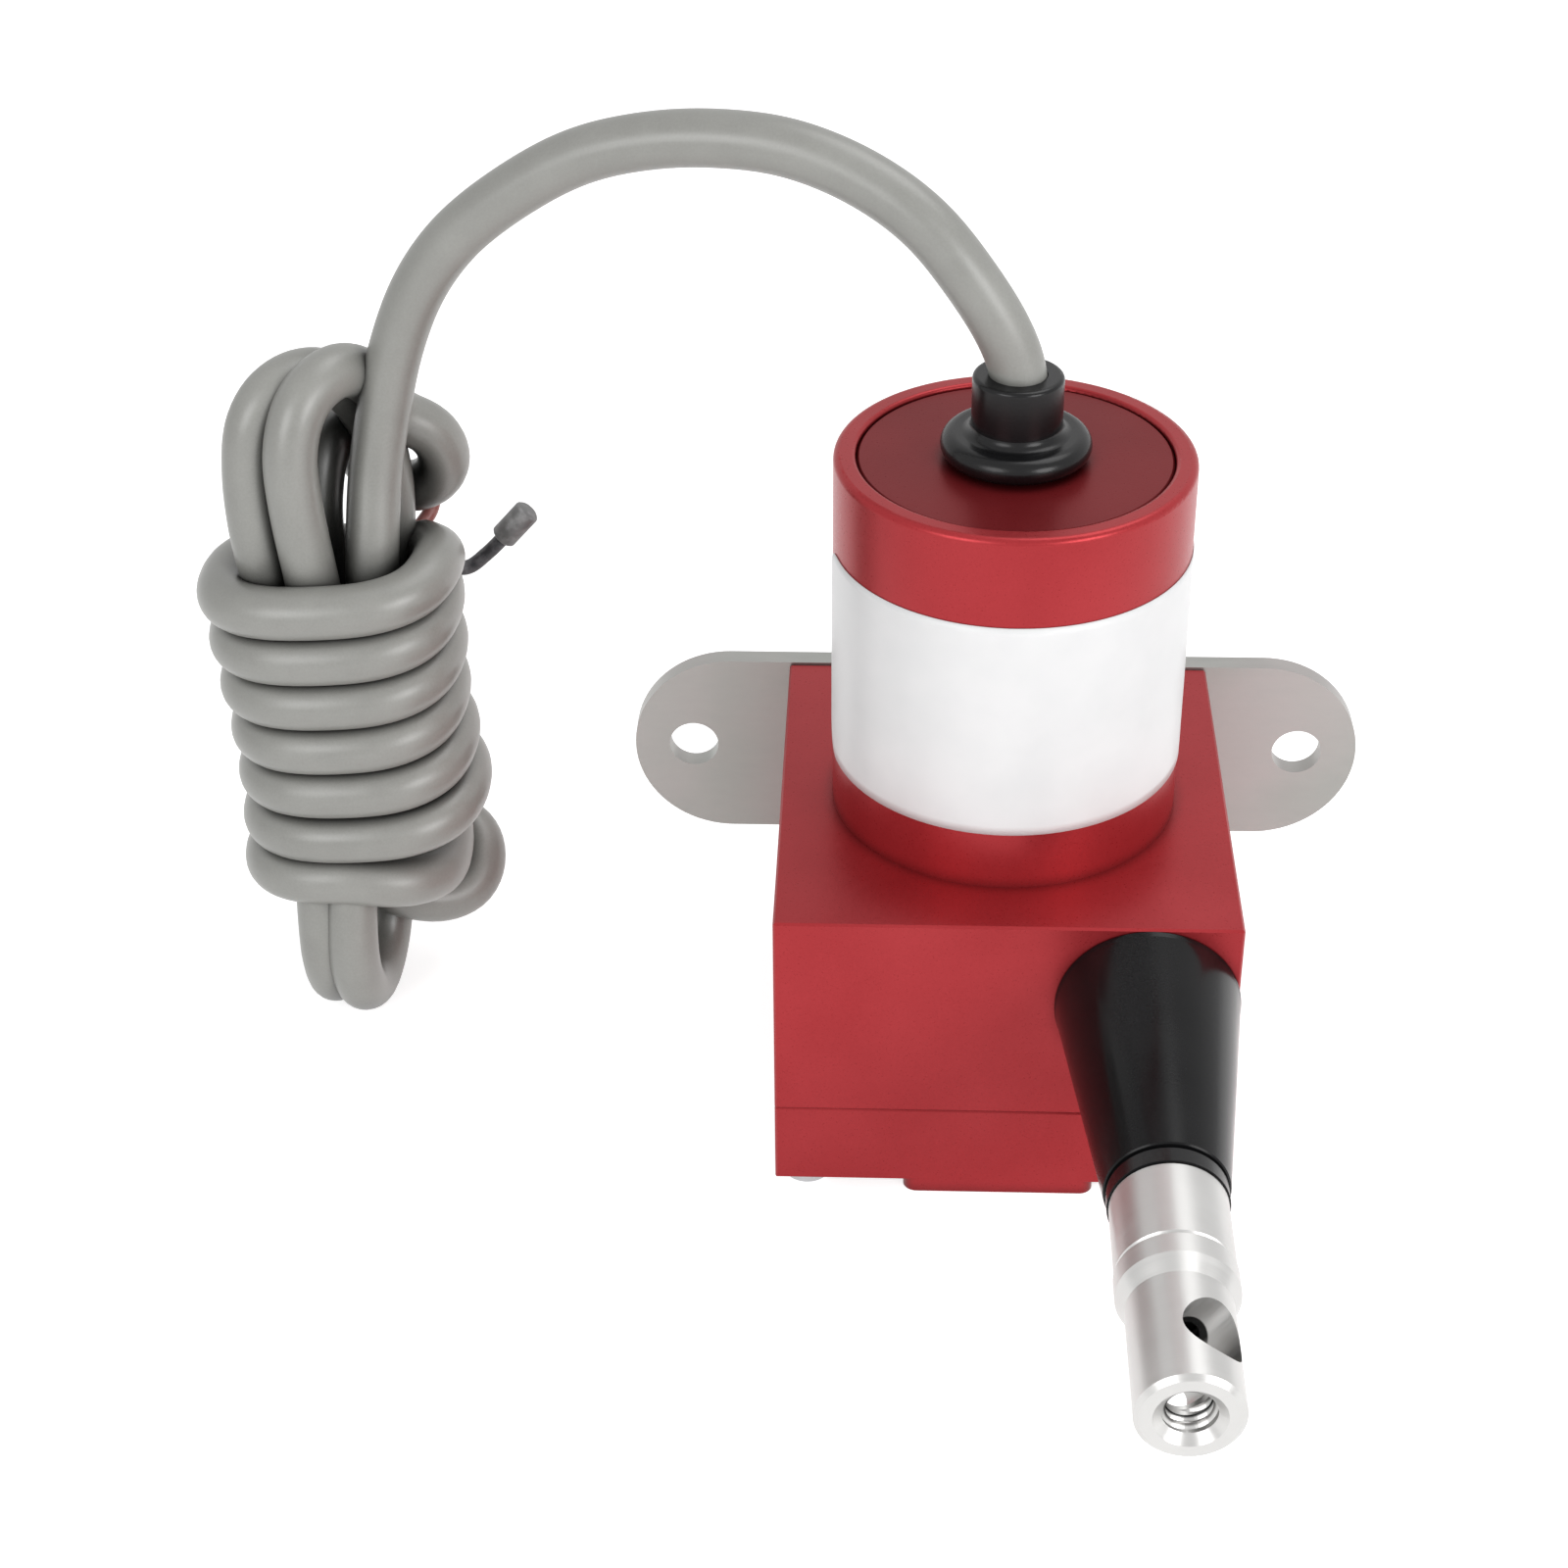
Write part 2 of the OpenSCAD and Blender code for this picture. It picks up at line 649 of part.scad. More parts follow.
module pot_bracket() {
  color([0.75, 0.76, 0.78]) on_axis() difference() {
    union() {
      ring_at(bracket_z, bracket_t, can_bore_r - 0.2, bushing_r);
      around(leg_count, leg_ring_r) translate([0, 0, top_z])
        cylinder(r = leg_r, h = bracket_z - top_z + 1);
    }
    around(leg_count, leg_ring_r) translate([0, 0, top_z - over])
      cylinder(r = stud_r, h = pot_z - top_z + 2 * over);
  }
}

module bracket_studs() {
  color([0.75, 0.75, 0.77]) on_axis() around(leg_count, leg_ring_r)
    translate([0, 0, top_z - stud_depth])
      cylinder(r = stud_r, h = stud_depth + bracket_z + bracket_t - top_z);
}

module pot_case() {
  color([0.16, 0.3, 0.55]) on_axis() difference() {
    union() {
      translate([0, 0, pot_z]) cylinder(d = pot_d, h = pot_h);
      translate([0, 0, bushing_z]) cylinder(r = bushing_r, h = pot_z - bushing_z + over);
    }
    translate([0, 0, bushing_z - over])
      cylinder(r = bore_r + fit, h = pot_z + pot_bore_l - bushing_z + over);
  }
}

module pot_nut() {
  color([0.8, 0.8, 0.82]) on_axis() difference() {
    translate([0, 0, bracket_z - nut_h]) cylinder(r = nut_r, h = nut_h, $fn = 6);
    translate([0, 0, bracket_z - nut_h - over]) cylinder(r = bushing_r, h = nut_h + 2 * over);
  }
}

module pot_terminals() {
  color([0.85, 0.7, 0.3]) on_axis() around(terminal_count, terminal_ring_r)
    translate([0, 0, pot_z + pot_h]) cylinder(r = terminal_r, h = terminal_h, $fn = 24);
}

module lead_wires() {
  reach = terminal_ring_r - terminal_r - lead_ring_r;
  lead_z = pot_z + pot_h + terminal_h / 2;
  color([0.7, 0.2, 0.2]) on_axis() around(terminal_count, lead_ring_r) translate([0, 0, lead_z]) {
    rotate([0, 90, 0]) cylinder(r = lead_r, h = reach, $fn = 24);
    sphere(r = lead_r, $fn = 24);
    cylinder(r = lead_r, h = CABLE_ROUTE[0][2] - lead_z, $fn = 24);
  }
}

module cable() {
  color([0.6, 0.6, 0.58]) swept_tube(curve(CABLE_ROUTE, 2), cable_d / 2, tube_sides, [0.1, 1, 0.2]);
}

// An upright slab with round corners seen from the front, between given limits
module slab_front(x, y, z, r) {
  translate([(x[0] + x[1]) / 2, y[1], (z[0] + z[1]) / 2]) rotate([90, 0, 0])
    linear_extrude(height = y[1] - y[0]) round_rect(x[1] - x[0], z[1] - z[0], r);
}

// An upright slab with round corners seen from the side, between given limits
module slab_side(x, y, z, r) {
  translate([x[0], (y[0] + y[1]) / 2, (z[0] + z[1]) / 2]) rotate([90, 0, 90])
    linear_extrude(height = x[1] - x[0]) round_rect(y[1] - y[0], z[1] - z[0], r);
}

module cable_hank() {
  color([0.58, 0.58, 0.56]) union() {
    translate([(WRAPS_X[0] + WRAPS_X[1]) / 2, (WRAPS_Y[0] + WRAPS_Y[1]) / 2, WRAPS_Z[0]])
      linear_extrude(height = WRAPS_Z[1] - WRAPS_Z[0])
        round_rect(WRAPS_X[1] - WRAPS_X[0], WRAPS_Y[1] - WRAPS_Y[0], 9);
    slab_front(FOLDS_X, FOLDS_Y, [0, FOLDS_TOP_Z], 8);
    slab_front(SIDE_LOOP_X, SIDE_LOOP_Y, SIDE_LOOP_Z, 6);
    slab_side(LOWER_FOLDS_X, LOWER_FOLDS_Y, [base_z, 0], 8);
    slab_front(CURL_X, CURL_Y, CURL_Z, 5);
  }
}

module conductor_ends() {
  color([0.55, 0.2, 0.18]) swept_tube(curve(RED_ROUTE, 2), conductor_d / 2, wire_sides, [1, -1, 0]);
  color([0.2, 0.2, 0.22]) swept_tube(curve(DARK_ROUTE, 2), conductor_d / 2, wire_sides, [1, -1, 0]);
}

module drum() {
  color([0.72, 0.73, 0.75]) on_axis() difference() {
    rotate_extrude() difference() {
      polygon([
        [bore_r, hub_top_z], [land_r, hub_top_z], [land_r, hub_top_z + hub_gap],
        [drum_hub_r, hub_top_z + hub_gap], [drum_hub_r, groove_base_z - flange_t],
        [flange_r, groove_base_z - flange_t], [flange_r, groove_base_z],
        [root_r + wire_d / 4, groove_base_z], [root_r + wire_d / 4, groove_top_z],
        [flange_r, groove_top_z], [flange_r, groove_top_z + flange_t],
        [land_r, groove_top_z + flange_t], [land_r, upper_bearing_z],
        [bore_r, upper_bearing_z]]);
      for (i = [0 : wire_turns - 1])
        translate([wire_x, wire_z - i * winding_pitch]) circle(d = wire_d, $fn = 24);
    }
    translate([0, 0, drum_screw_z]) rotate([0, 90, 0]) cylinder(r = set_screw_r, h = drum_hub_r + 1);
  }
}

module drum_shaft() {
  color([0.78, 0.78, 0.8]) on_axis() {
    translate([0, 0, plate_floor_z]) cylinder(r = bore_r, h = shaft_joint_z - plate_floor_z);
    difference() {
      translate([0, 0, pocket_z + 0.3]) cylinder(r = arbor_r, h = lower_bearing_z - pocket_z - 0.3 - 0.1);
      translate([arbor_r - tab_l - 0.3, -(strip_t + slot_w) / 2, pocket_z])
        cube([tab_l + 1, slot_w, plate_floor_z - pocket_z + 1]);
    }
    translate([0, 0, lower_bearing_z - 0.2]) cylinder(r = land_r, h = 0.2);
  }
}

module drum_screw() {
  color([0.3, 0.3, 0.32]) on_axis() translate([bore_r, 0, drum_screw_z]) rotate([0, 90, 0])
    difference() {
      cylinder(r = set_screw_r, h = 3.4);
      translate([0, 0, 2]) cylinder(r = 0.7, h = 2, $fn = 6);
    }
}

module shaft_coupling() {
  color([0.7, 0.71, 0.73]) on_axis() difference() {
    translate([0, 0, coupling_z]) cylinder(r = coupling_r, h = coupling_h);
    translate([0, 0, coupling_z - 1]) cylinder(r = bore_r, h = coupling_h + 2);
    for (z = [0.25, 0.75]) translate([0, 0, coupling_z + z * coupling_h]) rotate([0, 90, 0])
      cylinder(r = set_screw_r, h = coupling_r + 1);
  }
}

module coupling_screws() {
  color([0.3, 0.3, 0.32]) on_axis() for (z = [0.25, 0.75])
    translate([bore_r, 0, coupling_z + z * coupling_h]) rotate([0, 90, 0]) difference() {
      cylinder(r = set_screw_r, h = coupling_r - bore_r - 0.3);
      translate([0, 0, 1]) cylinder(r = 0.7, h = 3, $fn = 6);
    }
}

module pot_shaft() {
  color([0.8, 0.8, 0.82]) on_axis() translate([0, 0, shaft_joint_z])
    cylinder(r = bore_r, h = pot_z + 1 - shaft_joint_z);
}

module wire_winding() {
  color([0.62, 0.63, 0.65]) on_axis() for (i = [0 : wire_turns - 1])
    translate([0, 0, wire_z - i * winding_pitch]) rotate(i == 0 ? 1.5 : 0)
      rotate_extrude(angle = i == 0 ? 336.5 : 360)
        translate([wire_x, 0]) circle(d = wire_d, $fn = 24);
}

module pull_wire() {
  start = axis_y - fit;
  color([0.62, 0.63, 0.65]) along_wire(start)
    cylinder(d = wire_d, h = start - ferrule_y + ferrule_l / 2, $fn = 24);
}

module bumper() {
  color([0.05, 0.05, 0.05]) along_wire(bumper_y) rotate_extrude() polygon([
    [wire_d / 2, 0], [bumper_d / 2 - 0.3, 0], [bumper_d / 2, 0.3],
    [bumper_d / 2, bumper_t], [wire_d / 2, bumper_t]]);
}

module ferrule() {
  r = ferrule_d / 2;
  color([0.82, 0.82, 0.83]) along_wire(ferrule_y) difference() {
    rotate_extrude() polygon([
      [0, 0], [r - 0.2, 0], [r, 0.2], [r, ferrule_l - 0.2], [r - 0.2, ferrule_l],
      [spigot_r, ferrule_l], [spigot_r, ferrule_l + 1], [ring_seat_r, ferrule_l + 1],
      [ring_seat_r, ferrule_l + 1 + ring_t + 0.1], [spigot_r, ferrule_l + 1 + ring_t + 0.1],
      [spigot_r, ferrule_l + spigot_l - 0.2], [0, ferrule_l + spigot_l - 0.2]]);
    translate([0, 0, -1]) cylinder(d = wire_d, h = ferrule_l / 2 + 1, $fn = 24);
  }
}

module retaining_ring() {
  color([0.5, 0.5, 0.52]) along_wire(ferrule_y)
    ring_at(ferrule_l + 1 + fit, ring_t, ring_r, ring_seat_r + fit);
}

module swivel_head() {
  r = head_d / 2;
  tap = tap_d / 2;
  color([0.84, 0.84, 0.85]) along_wire(head_y) difference() {
    rotate_extrude() polygon([
      [spigot_r + fit, 0], [collar_d / 2 - 0.2, 0], [collar_d / 2, 0.2],
      [collar_d / 2, collar_l], [r, collar_l + collar_taper], [r, head_l - 0.4],
      [r - 0.4, head_l], [tap + 0.7, head_l], [tap, head_l - 0.7],
      [tap, head_l - cross_end], [drill_r, head_l - cross_end],
      [drill_r, head_l - tap_l], [0, head_l - tap_l],
      [0, spigot_l + 0.2], [spigot_r + fit, spigot_l + 0.2],
      [spigot_r + fit, 1 + ring_t + 0.1], [ring_r + fit, 1 + ring_t + 0.1],
      [ring_r + fit, 0.9], [spigot_r + fit, 0.9]]);
    translate([0, 0, head_l - cross_end]) rotate([0, 90, cross_angle])
      cylinder(d = cross_d, h = head_d + 2, center = true);
  }
}

main_body();
spring_housing();
bearing_plate();
mounting_plate();
plate_screws();
cover_screws();
housing_seal();
sensor_can();
can_seal();
can_cap();
cable_grommet();
label();
outlet_cone();
guide_bush();
wire_wiper();
bearing_outer_rings();
power_spring();
pot_bracket();
bracket_studs();
pot_case();
pot_nut();
pot_terminals();
lead_wires();
cable();
cable_hank();
conductor_ends();
drum();
drum_shaft();
bearing_inner_rings();
drum_screw();
shaft_coupling();
coupling_screws();
pot_shaft();
wire_winding();
ball_sets();
ball_cages();
pull_wire();
bumper();
ferrule();
retaining_ring();
swivel_head();
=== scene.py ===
"""Looks of the draw wire encoder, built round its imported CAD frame. Metres, +Z up."""
import json
import math

import bpy
from mathutils import Matrix, Vector


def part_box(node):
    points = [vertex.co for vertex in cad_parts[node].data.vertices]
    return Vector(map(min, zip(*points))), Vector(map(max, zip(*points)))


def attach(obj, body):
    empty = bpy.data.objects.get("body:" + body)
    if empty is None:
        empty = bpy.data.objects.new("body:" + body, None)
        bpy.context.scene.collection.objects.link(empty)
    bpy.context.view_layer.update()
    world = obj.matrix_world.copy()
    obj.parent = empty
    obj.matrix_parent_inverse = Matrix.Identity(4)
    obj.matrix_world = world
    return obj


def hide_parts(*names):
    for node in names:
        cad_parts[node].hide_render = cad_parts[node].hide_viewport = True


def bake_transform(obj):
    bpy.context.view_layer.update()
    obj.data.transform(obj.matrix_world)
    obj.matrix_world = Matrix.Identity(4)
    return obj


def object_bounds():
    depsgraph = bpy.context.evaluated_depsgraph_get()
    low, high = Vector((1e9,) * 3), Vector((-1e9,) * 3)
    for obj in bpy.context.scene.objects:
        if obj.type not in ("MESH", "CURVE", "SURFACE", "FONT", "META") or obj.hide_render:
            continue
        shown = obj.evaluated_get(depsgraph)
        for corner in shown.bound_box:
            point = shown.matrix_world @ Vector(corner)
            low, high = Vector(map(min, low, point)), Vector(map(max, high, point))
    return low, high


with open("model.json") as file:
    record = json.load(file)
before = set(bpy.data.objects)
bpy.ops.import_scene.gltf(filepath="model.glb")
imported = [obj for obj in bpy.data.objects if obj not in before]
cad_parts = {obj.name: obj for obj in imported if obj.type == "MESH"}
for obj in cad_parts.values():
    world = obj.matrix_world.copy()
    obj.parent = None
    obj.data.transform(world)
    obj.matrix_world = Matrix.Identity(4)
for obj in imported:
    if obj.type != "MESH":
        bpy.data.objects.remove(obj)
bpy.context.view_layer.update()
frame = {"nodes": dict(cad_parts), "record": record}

MM = 0.001

# ---------------------------------------------------------------- camera

CAMERA_AT = Vector((-10.346, -248.84, 159.10)) * MM
CAMERA_PITCH = math.radians(33.531)
CAMERA_YAW = math.radians(-2.397)
CAMERA_ROLL = math.radians(0.52)
CAMERA_LENS = 68.54


def make_camera():
    """The camera at the photograph's viewing angle."""
    level = math.cos(CAMERA_PITCH)
    ahead = Vector((math.sin(CAMERA_YAW) * level, math.cos(CAMERA_YAW) * level,
                    -math.sin(CAMERA_PITCH)))
    right = Vector((math.cos(CAMERA_YAW), -math.sin(CAMERA_YAW), 0))
    down = ahead.cross(right)
    cos_roll, sin_roll = math.cos(CAMERA_ROLL), math.sin(CAMERA_ROLL)
    rolled_right = right * cos_roll + down * sin_roll
    rolled_down = down * cos_roll - right * sin_roll
    data = bpy.data.cameras.new("camera")
    data.lens = CAMERA_LENS
    data.sensor_width = 36
    data.clip_start = 0.01
    camera = bpy.data.objects.new("camera", data)
    turn = Matrix((rolled_right, -rolled_down, -ahead)).transposed()
    camera.matrix_world = Matrix.Translation(CAMERA_AT) @ turn.to_4x4()
    bpy.context.scene.collection.objects.link(camera)
    bpy.context.scene.camera = camera


# ---------------------------------------------------------------- cable

CABLE_D = 4.8 * MM
CONDUCTOR_D = 1.4 * MM
SLEEVE_D = 2.5 * MM
SLEEVE_L = 3.6
SLEEVE_PAST_TIP = 0.3
EASED_END = 0.08

# The routes are in millimetres. The free arc has the same points as the CAD model's cable
ARC = [(0, -23.25, 38.5), (0, -23.25, 45), (0, -23.25, 50.5), (-1.2, -23.2, 54),
       (-4, -22.7, 58.5), (-8, -21.2, 63), (-13, -19.3, 66), (-19, -17.4, 67.8),
       (-25, -15.8, 68), (-31, -14.4, 67.2), (-37, -13.2, 65.3), (-42.8, -12.3, 61.8),
       (-48, -11.6, 57.4), (-51.6, -11.2, 52.4), (-54, -11.5, 46.6), (-55.4, -12.2, 41)]
# Down the front of the hank, round its foot and up again
FIRST_FOLD = [(-56.4, -13.4, 35.5), (-56.9, -15.4, 29), (-57.3, -16.5, 22), (-58.1, -17, 14),
              (-59.4, -17.9, 6), (-60.5, -19.7, -1), (-60.9, -21.8, -7), (-60.9, -22.7, -11.5),
              (-60.7, -21.4, -15.6), (-60.3, -17.6, -17.75), (-59.8, -13.2, -16.4),
              (-59.4, -10.6, -12.6), (-58.8, -9.8, -7), (-57.9, -10.6, 0), (-57.1, -11.5, 10),
              (-56.7, -10.8, 20), (-56.5, -8.6, 27)]
# Over the upper left loop and down to the second foot
SECOND_FOLD = [(-56.5, -7.6, 32.5), (-57.4, -7.4, 37.5), (-59.2, -8.4, 41.6), (-61.8, -11.2, 44.2),
               (-64.5, -14, 44), (-66.3, -15.5, 41.6), (-67, -16.2, 37.5), (-66.9, -16.9, 32),
               (-66.2, -17, 26), (-65.5, -16.4, 19), (-64.9, -16.4, 11), (-64.3, -17.8, 3),
               (-63.9, -20, -4), (-63.8, -21.4, -9), (-63.8, -21.3, -12.5), (-63.7, -19.5, -16.2),
               (-63.7, -15.6, -17.7), (-63.7, -11.9, -16), (-63.8, -9.8, -12)]
# Up again, over the second loop and round behind the arc
THIRD_FOLD = [(-64, -9.6, -7), (-63.9, -11, 0), (-62.9, -13.6, 8), (-61.8, -16.6, 16),
              (-61.6, -18.2, 23), (-62.1, -18.7, 29), (-62.7, -18.6, 35), (-62.8, -17.9, 40.2),
              (-61.6, -16.2, 44), (-59.4, -13.2, 45.3), (-57.6, -9.8, 43.6), (-56.6, -7.6, 40.6),
              (-54.9, -6.6, 37.8), (-52.7, -5.9, 36.4), (-51.5, -5, 33.6), (-52.3, -3.9, 30.6),
              (-54.6, -3.2, 28.9), (-57, -3, 29.2), (-59, -3.3, 31.6), (-60, -4.6, 34.6),
              (-60.8, -7, 36.4), (-61.8, -9.4, 35.6)]
# Down the middle and out at the foot, where the wraps begin
LAST_FOLD = [(-62.4, -11, 32), (-62.5, -11.7, 28), (-62.5, -12, 22), (-62.4, -12.2, 12),
             (-61.7, -13, 1), (-60.8, -14.4, -5.5), (-59, -14.4, -8.8), (-56.2, -13.6, -10.6),
             (-53.4, -12.6, -11.4), (-51.1, -11.2, -10.9), (-50.2, -9, -9.2), (-51.1, -6.8, -7.5),
             (-53.6, -5.6, -6.6)]
# The wraps from the lowest up: height at the front, then the places of the left and right ends
WRAPS = [(-2.3, -69.3, -52.6), (2.4, -69.0, -50.3), (7.4, -68.9, -51.1), (12.2, -69.1, -51.65),
         (16.95, -69.6, -51.6), (21.65, -70.1, -51.6), (26.35, -70.7, -51.3)]
WRAP_Y = -14.5
WRAP_HALF_DEPTH = 8.0
WRAP_SQUARENESS = 2.6
WRAP_REAR_BULGE = 0.8
WRAP_LEAN = 2.4
WRAP_RIGHT_RISE = 1.2
WRAP_START_Z = -6.0
WRAP_START_LEFT_Z = -3.6
WRAP_START_RIGHT_Z = -5.0
WRAP_END_Z = 28.2
# Angles round a wrap in degrees; 90 is its rear
WRAP_FROM = 110
WRAP_TO = 460
WRAP_STEP = 20
WRAP_CROSSOVER = 380
LAST_WRAP_TO = WRAP_TO - 5 * WRAP_STEP
CABLE_END = [(-51.5, -12, 26.6), (-52.4, -9.6, 25.8), (-53.8, -7.4, 25)]
# The conductors, from the cable's cut end
RED_ROUTE = [(-53.4, -7.9, 25.2), (-54.6, -6, 24.6), (-54.7, -4, 24.7), (-53.6, -2.5, 26),
             (-53, -1.8, 28.5)]
DARK_ROUTE = [(-53.4, -7.8, 24.6), (-54.3, -5.8, 23.6), (-52.8, -3.9, 21.2), (-50.6, -2.9, 20.1),
              (-48.5, -2.7, 21.6), (-44.6, -2.8, 26)]
# Points between two given ones, the spacings of the even lines, and the passes that ease them
CURVE_STEPS = 8
EASING_STEP = 0.5
EASING_PASSES = 6
RING_STEP = 0.6


def between(value, low, high, first, last):
    """The value from first to last that lies where value lies from low to high."""
    return first + (last - first) * (value - low) / (high - low)


def wrap_point(angle, z, left, right, half_depth):
    """A point of one wrap, a rounded box seen from above; 0 is its right end, 90 its rear."""
    c, s = math.cos(math.radians(angle)), math.sin(math.radians(angle))
    power = 2 / WRAP_SQUARENESS
    x = (left + right) / 2 + (right - left) / 2 * math.copysign(abs(c) ** power, c)
    y = WRAP_Y + half_depth * math.copysign(abs(s) ** power, s)
    return (x, y, z)


def wrap_points():
    """The wraps, each from the rear over the left end and the front up to the next."""
    points = []
    rear_z = WRAP_START_Z
    for i, (front_z, left, right) in enumerate(WRAPS):
        first, last = i == 0, i == len(WRAPS) - 1
        next_z = WRAP_END_Z if last else WRAPS[i + 1][0] - WRAP_LEAN
        left_z = WRAP_START_LEFT_Z if first else (rear_z + front_z) / 2
        right_z = WRAP_START_RIGHT_Z if first else front_z + WRAP_RIGHT_RISE
        heights = [(90, rear_z), (180, left_z), (270, front_z), (360, right_z), (450, next_z)]
        for angle in range(WRAP_FROM, LAST_WRAP_TO if last else WRAP_TO, WRAP_STEP):
            low, high = [(a, b) for a, b in zip(heights, heights[1:]) if a[0] <= angle <= b[0]][0]
            z = between(angle, low[0], high[0], low[1], high[1])
            share = max(0, angle - WRAP_CROSSOVER) / 90
            if not last:
                next_left, next_right = WRAPS[i + 1][1:]
                ends = (left + (next_left - left) * share, right + (next_right - right) * share)
            else:
                ends = (left, right)
            bulge = WRAP_REAR_BULGE * (180 - angle) / 90 if first and angle < 180 else 0
            points.append(wrap_point(angle, z, *ends, WRAP_HALF_DEPTH + bulge))
        rear_z = next_z
    return points


def line_length(line):
    """The length of a line of points."""
    return sum((b - a).length for a, b in zip(line, line[1:]))


def through(points, steps):
    """A smooth line through the points: a centripetal Catmull-Rom curve."""
    p = [Vector(q) for q in points]
    p = [2 * p[0] - p[1], *p, 2 * p[-1] - p[-2]]
    line = []
    for p0, p1, p2, p3 in zip(p, p[1:], p[2:], p[3:]):
        t1 = (p1 - p0).length ** 0.5
        t2 = t1 + (p2 - p1).length ** 0.5
        t3 = t2 + (p3 - p2).length ** 0.5
        for k in range(steps):
            t = t1 + (t2 - t1) * k / steps
            a1 = p0.lerp(p1, t / t1)
            a2 = p1.lerp(p2, (t - t1) / (t2 - t1))
            a3 = p2.lerp(p3, (t - t2) / (t3 - t2))
            b1 = a1.lerp(a2, t / t2)
            b2 = a2.lerp(a3, (t - t1) / (t3 - t1))
            line.append(b1.lerp(b2, (t - t1) / (t2 - t1)))
    return [*line, p[-2]]


def evenly(line, step):
    """The same line with its points about one step apart, all the same distance."""
    count = round(line_length(line) / step)
    step = line_length(line) / count
    out, walked = [line[0]], 0.0
    for a, b in zip(line, line[1:]):
        span = (b - a).length
        while walked + span >= step * len(out) and len(out) < count:
            out.append(a.lerp(b, (step * len(out) - walked) / span))
        walked += span
    return [*out, line[-1]]


def relaxed(line, passes):
    """The same line with its small kinks eased."""
    for _ in range(passes):
        inner = [(a + 2 * b + c) / 4 for a, b, c in zip(line, line[1:], line[2:])]
        line = [line[0], *inner, line[-1]]
    return line


def new_piece(name, verts, faces, body, smooth=True):
    """A piece from points in metres and faces, riding on a body; it is dressed later."""
    data = bpy.data.meshes.new(name)
    data.from_pydata([tuple(v) for v in verts], [], faces)
    data.validate()
    if smooth:
        data.shade_smooth()
    piece = bpy.data.objects.new(name, data)
    bpy.context.scene.collection.objects.link(piece)
    if body:
        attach(piece, body)
    return piece


def tube(name, line, diameter, sides):
    """A round tube along a line of points in millimetres, with slightly eased ends."""
    points = [Vector(p) * MM for p in line]
    steps = [(b - a).normalized() for a, b in zip(points, points[1:])]
    headings = [steps[0], *[(a + b).normalized() for a, b in zip(steps, steps[1:])], steps[-1]]
    radius, ease = diameter / 2, EASED_END * diameter
    rings = [(points[0], headings[0], radius - ease)]
    rings += [(point, heading, radius) for point, heading in zip(points, headings)]
    rings += [(points[-1], headings[-1], radius - ease)]
    rings[1] = (points[0] + headings[0] * ease, headings[0], radius)
    rings[-2] = (points[-1] - headings[-1] * ease, headings[-1], radius)
    side = headings[0].orthogonal()
    verts, faces = [], []
    for point, heading, r in rings:
        side = (side - heading * side.dot(heading)).normalized()
        up = heading.cross(side)
        for k in range(sides):
            a = 2 * math.pi * k / sides
            verts.append(point + side * (r * math.cos(a)) + up * (r * math.sin(a)))
    for i in range(len(rings) - 1):
        for k in range(sides):
            a, b = i * sides + k, i * sides + (k + 1) % sides
            faces.append((a, b, b + sides, a + sides))
    faces.append(tuple(reversed(range(sides))))
    faces.append(tuple(range(len(verts) - sides, len(verts))))
    return new_piece(name, verts, faces, "housing")


def make_cable():
    """The free cable with its hank, and the two bare conductors at its end."""
    route = ARC + FIRST_FOLD + SECOND_FOLD + THIRD_FOLD + LAST_FOLD + wrap_points() + CABLE_END
    eased = relaxed(evenly(through(route, CURVE_STEPS), EASING_STEP), EASING_PASSES)
    line = evenly(eased, RING_STEP)
    cable = tube("cable_jacket", line, CABLE_D, sides=28)
    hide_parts("cable", "cable_hank")
    red_line = through(RED_ROUTE, CURVE_STEPS)
    red = tube("red_conductor", red_line, CONDUCTOR_D, sides=16)
    dark_line = through(DARK_ROUTE, CURVE_STEPS)
    dark = tube("dark_conductor", dark_line, CONDUCTOR_D, sides=16)
    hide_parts("conductor_ends")
    tip, heading = dark_line[-1], (dark_line[-1] - dark_line[-2]).normalized()
    sleeve_line = [tip + heading * along for along in (-SLEEVE_L, -SLEEVE_L / 2, SLEEVE_PAST_TIP)]
    sleeve = tube("conductor_sleeve", sleeve_line, SLEEVE_D, sides=20)
    return cable, red, dark, sleeve


make_camera()
cable, red_conductor, dark_conductor, conductor_sleeve = make_cable()


# ---------------------------------------------------------------- materials

# The noise texture keeps mostly between these two values
NOISE_LOW = 0.3
NOISE_HIGH = 0.7
GAP_SAMPLES = 8
QUARTER_TURN = 0.25
# The colour sockets of a Mix node, which share their names with those of other kinds
MIX_INPUTS = (0, 6, 7)
MIX_OUTPUT = 2


def centre(node):
    """The middle of a node's box."""
    low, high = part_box(node)
    return (low + high) / 2


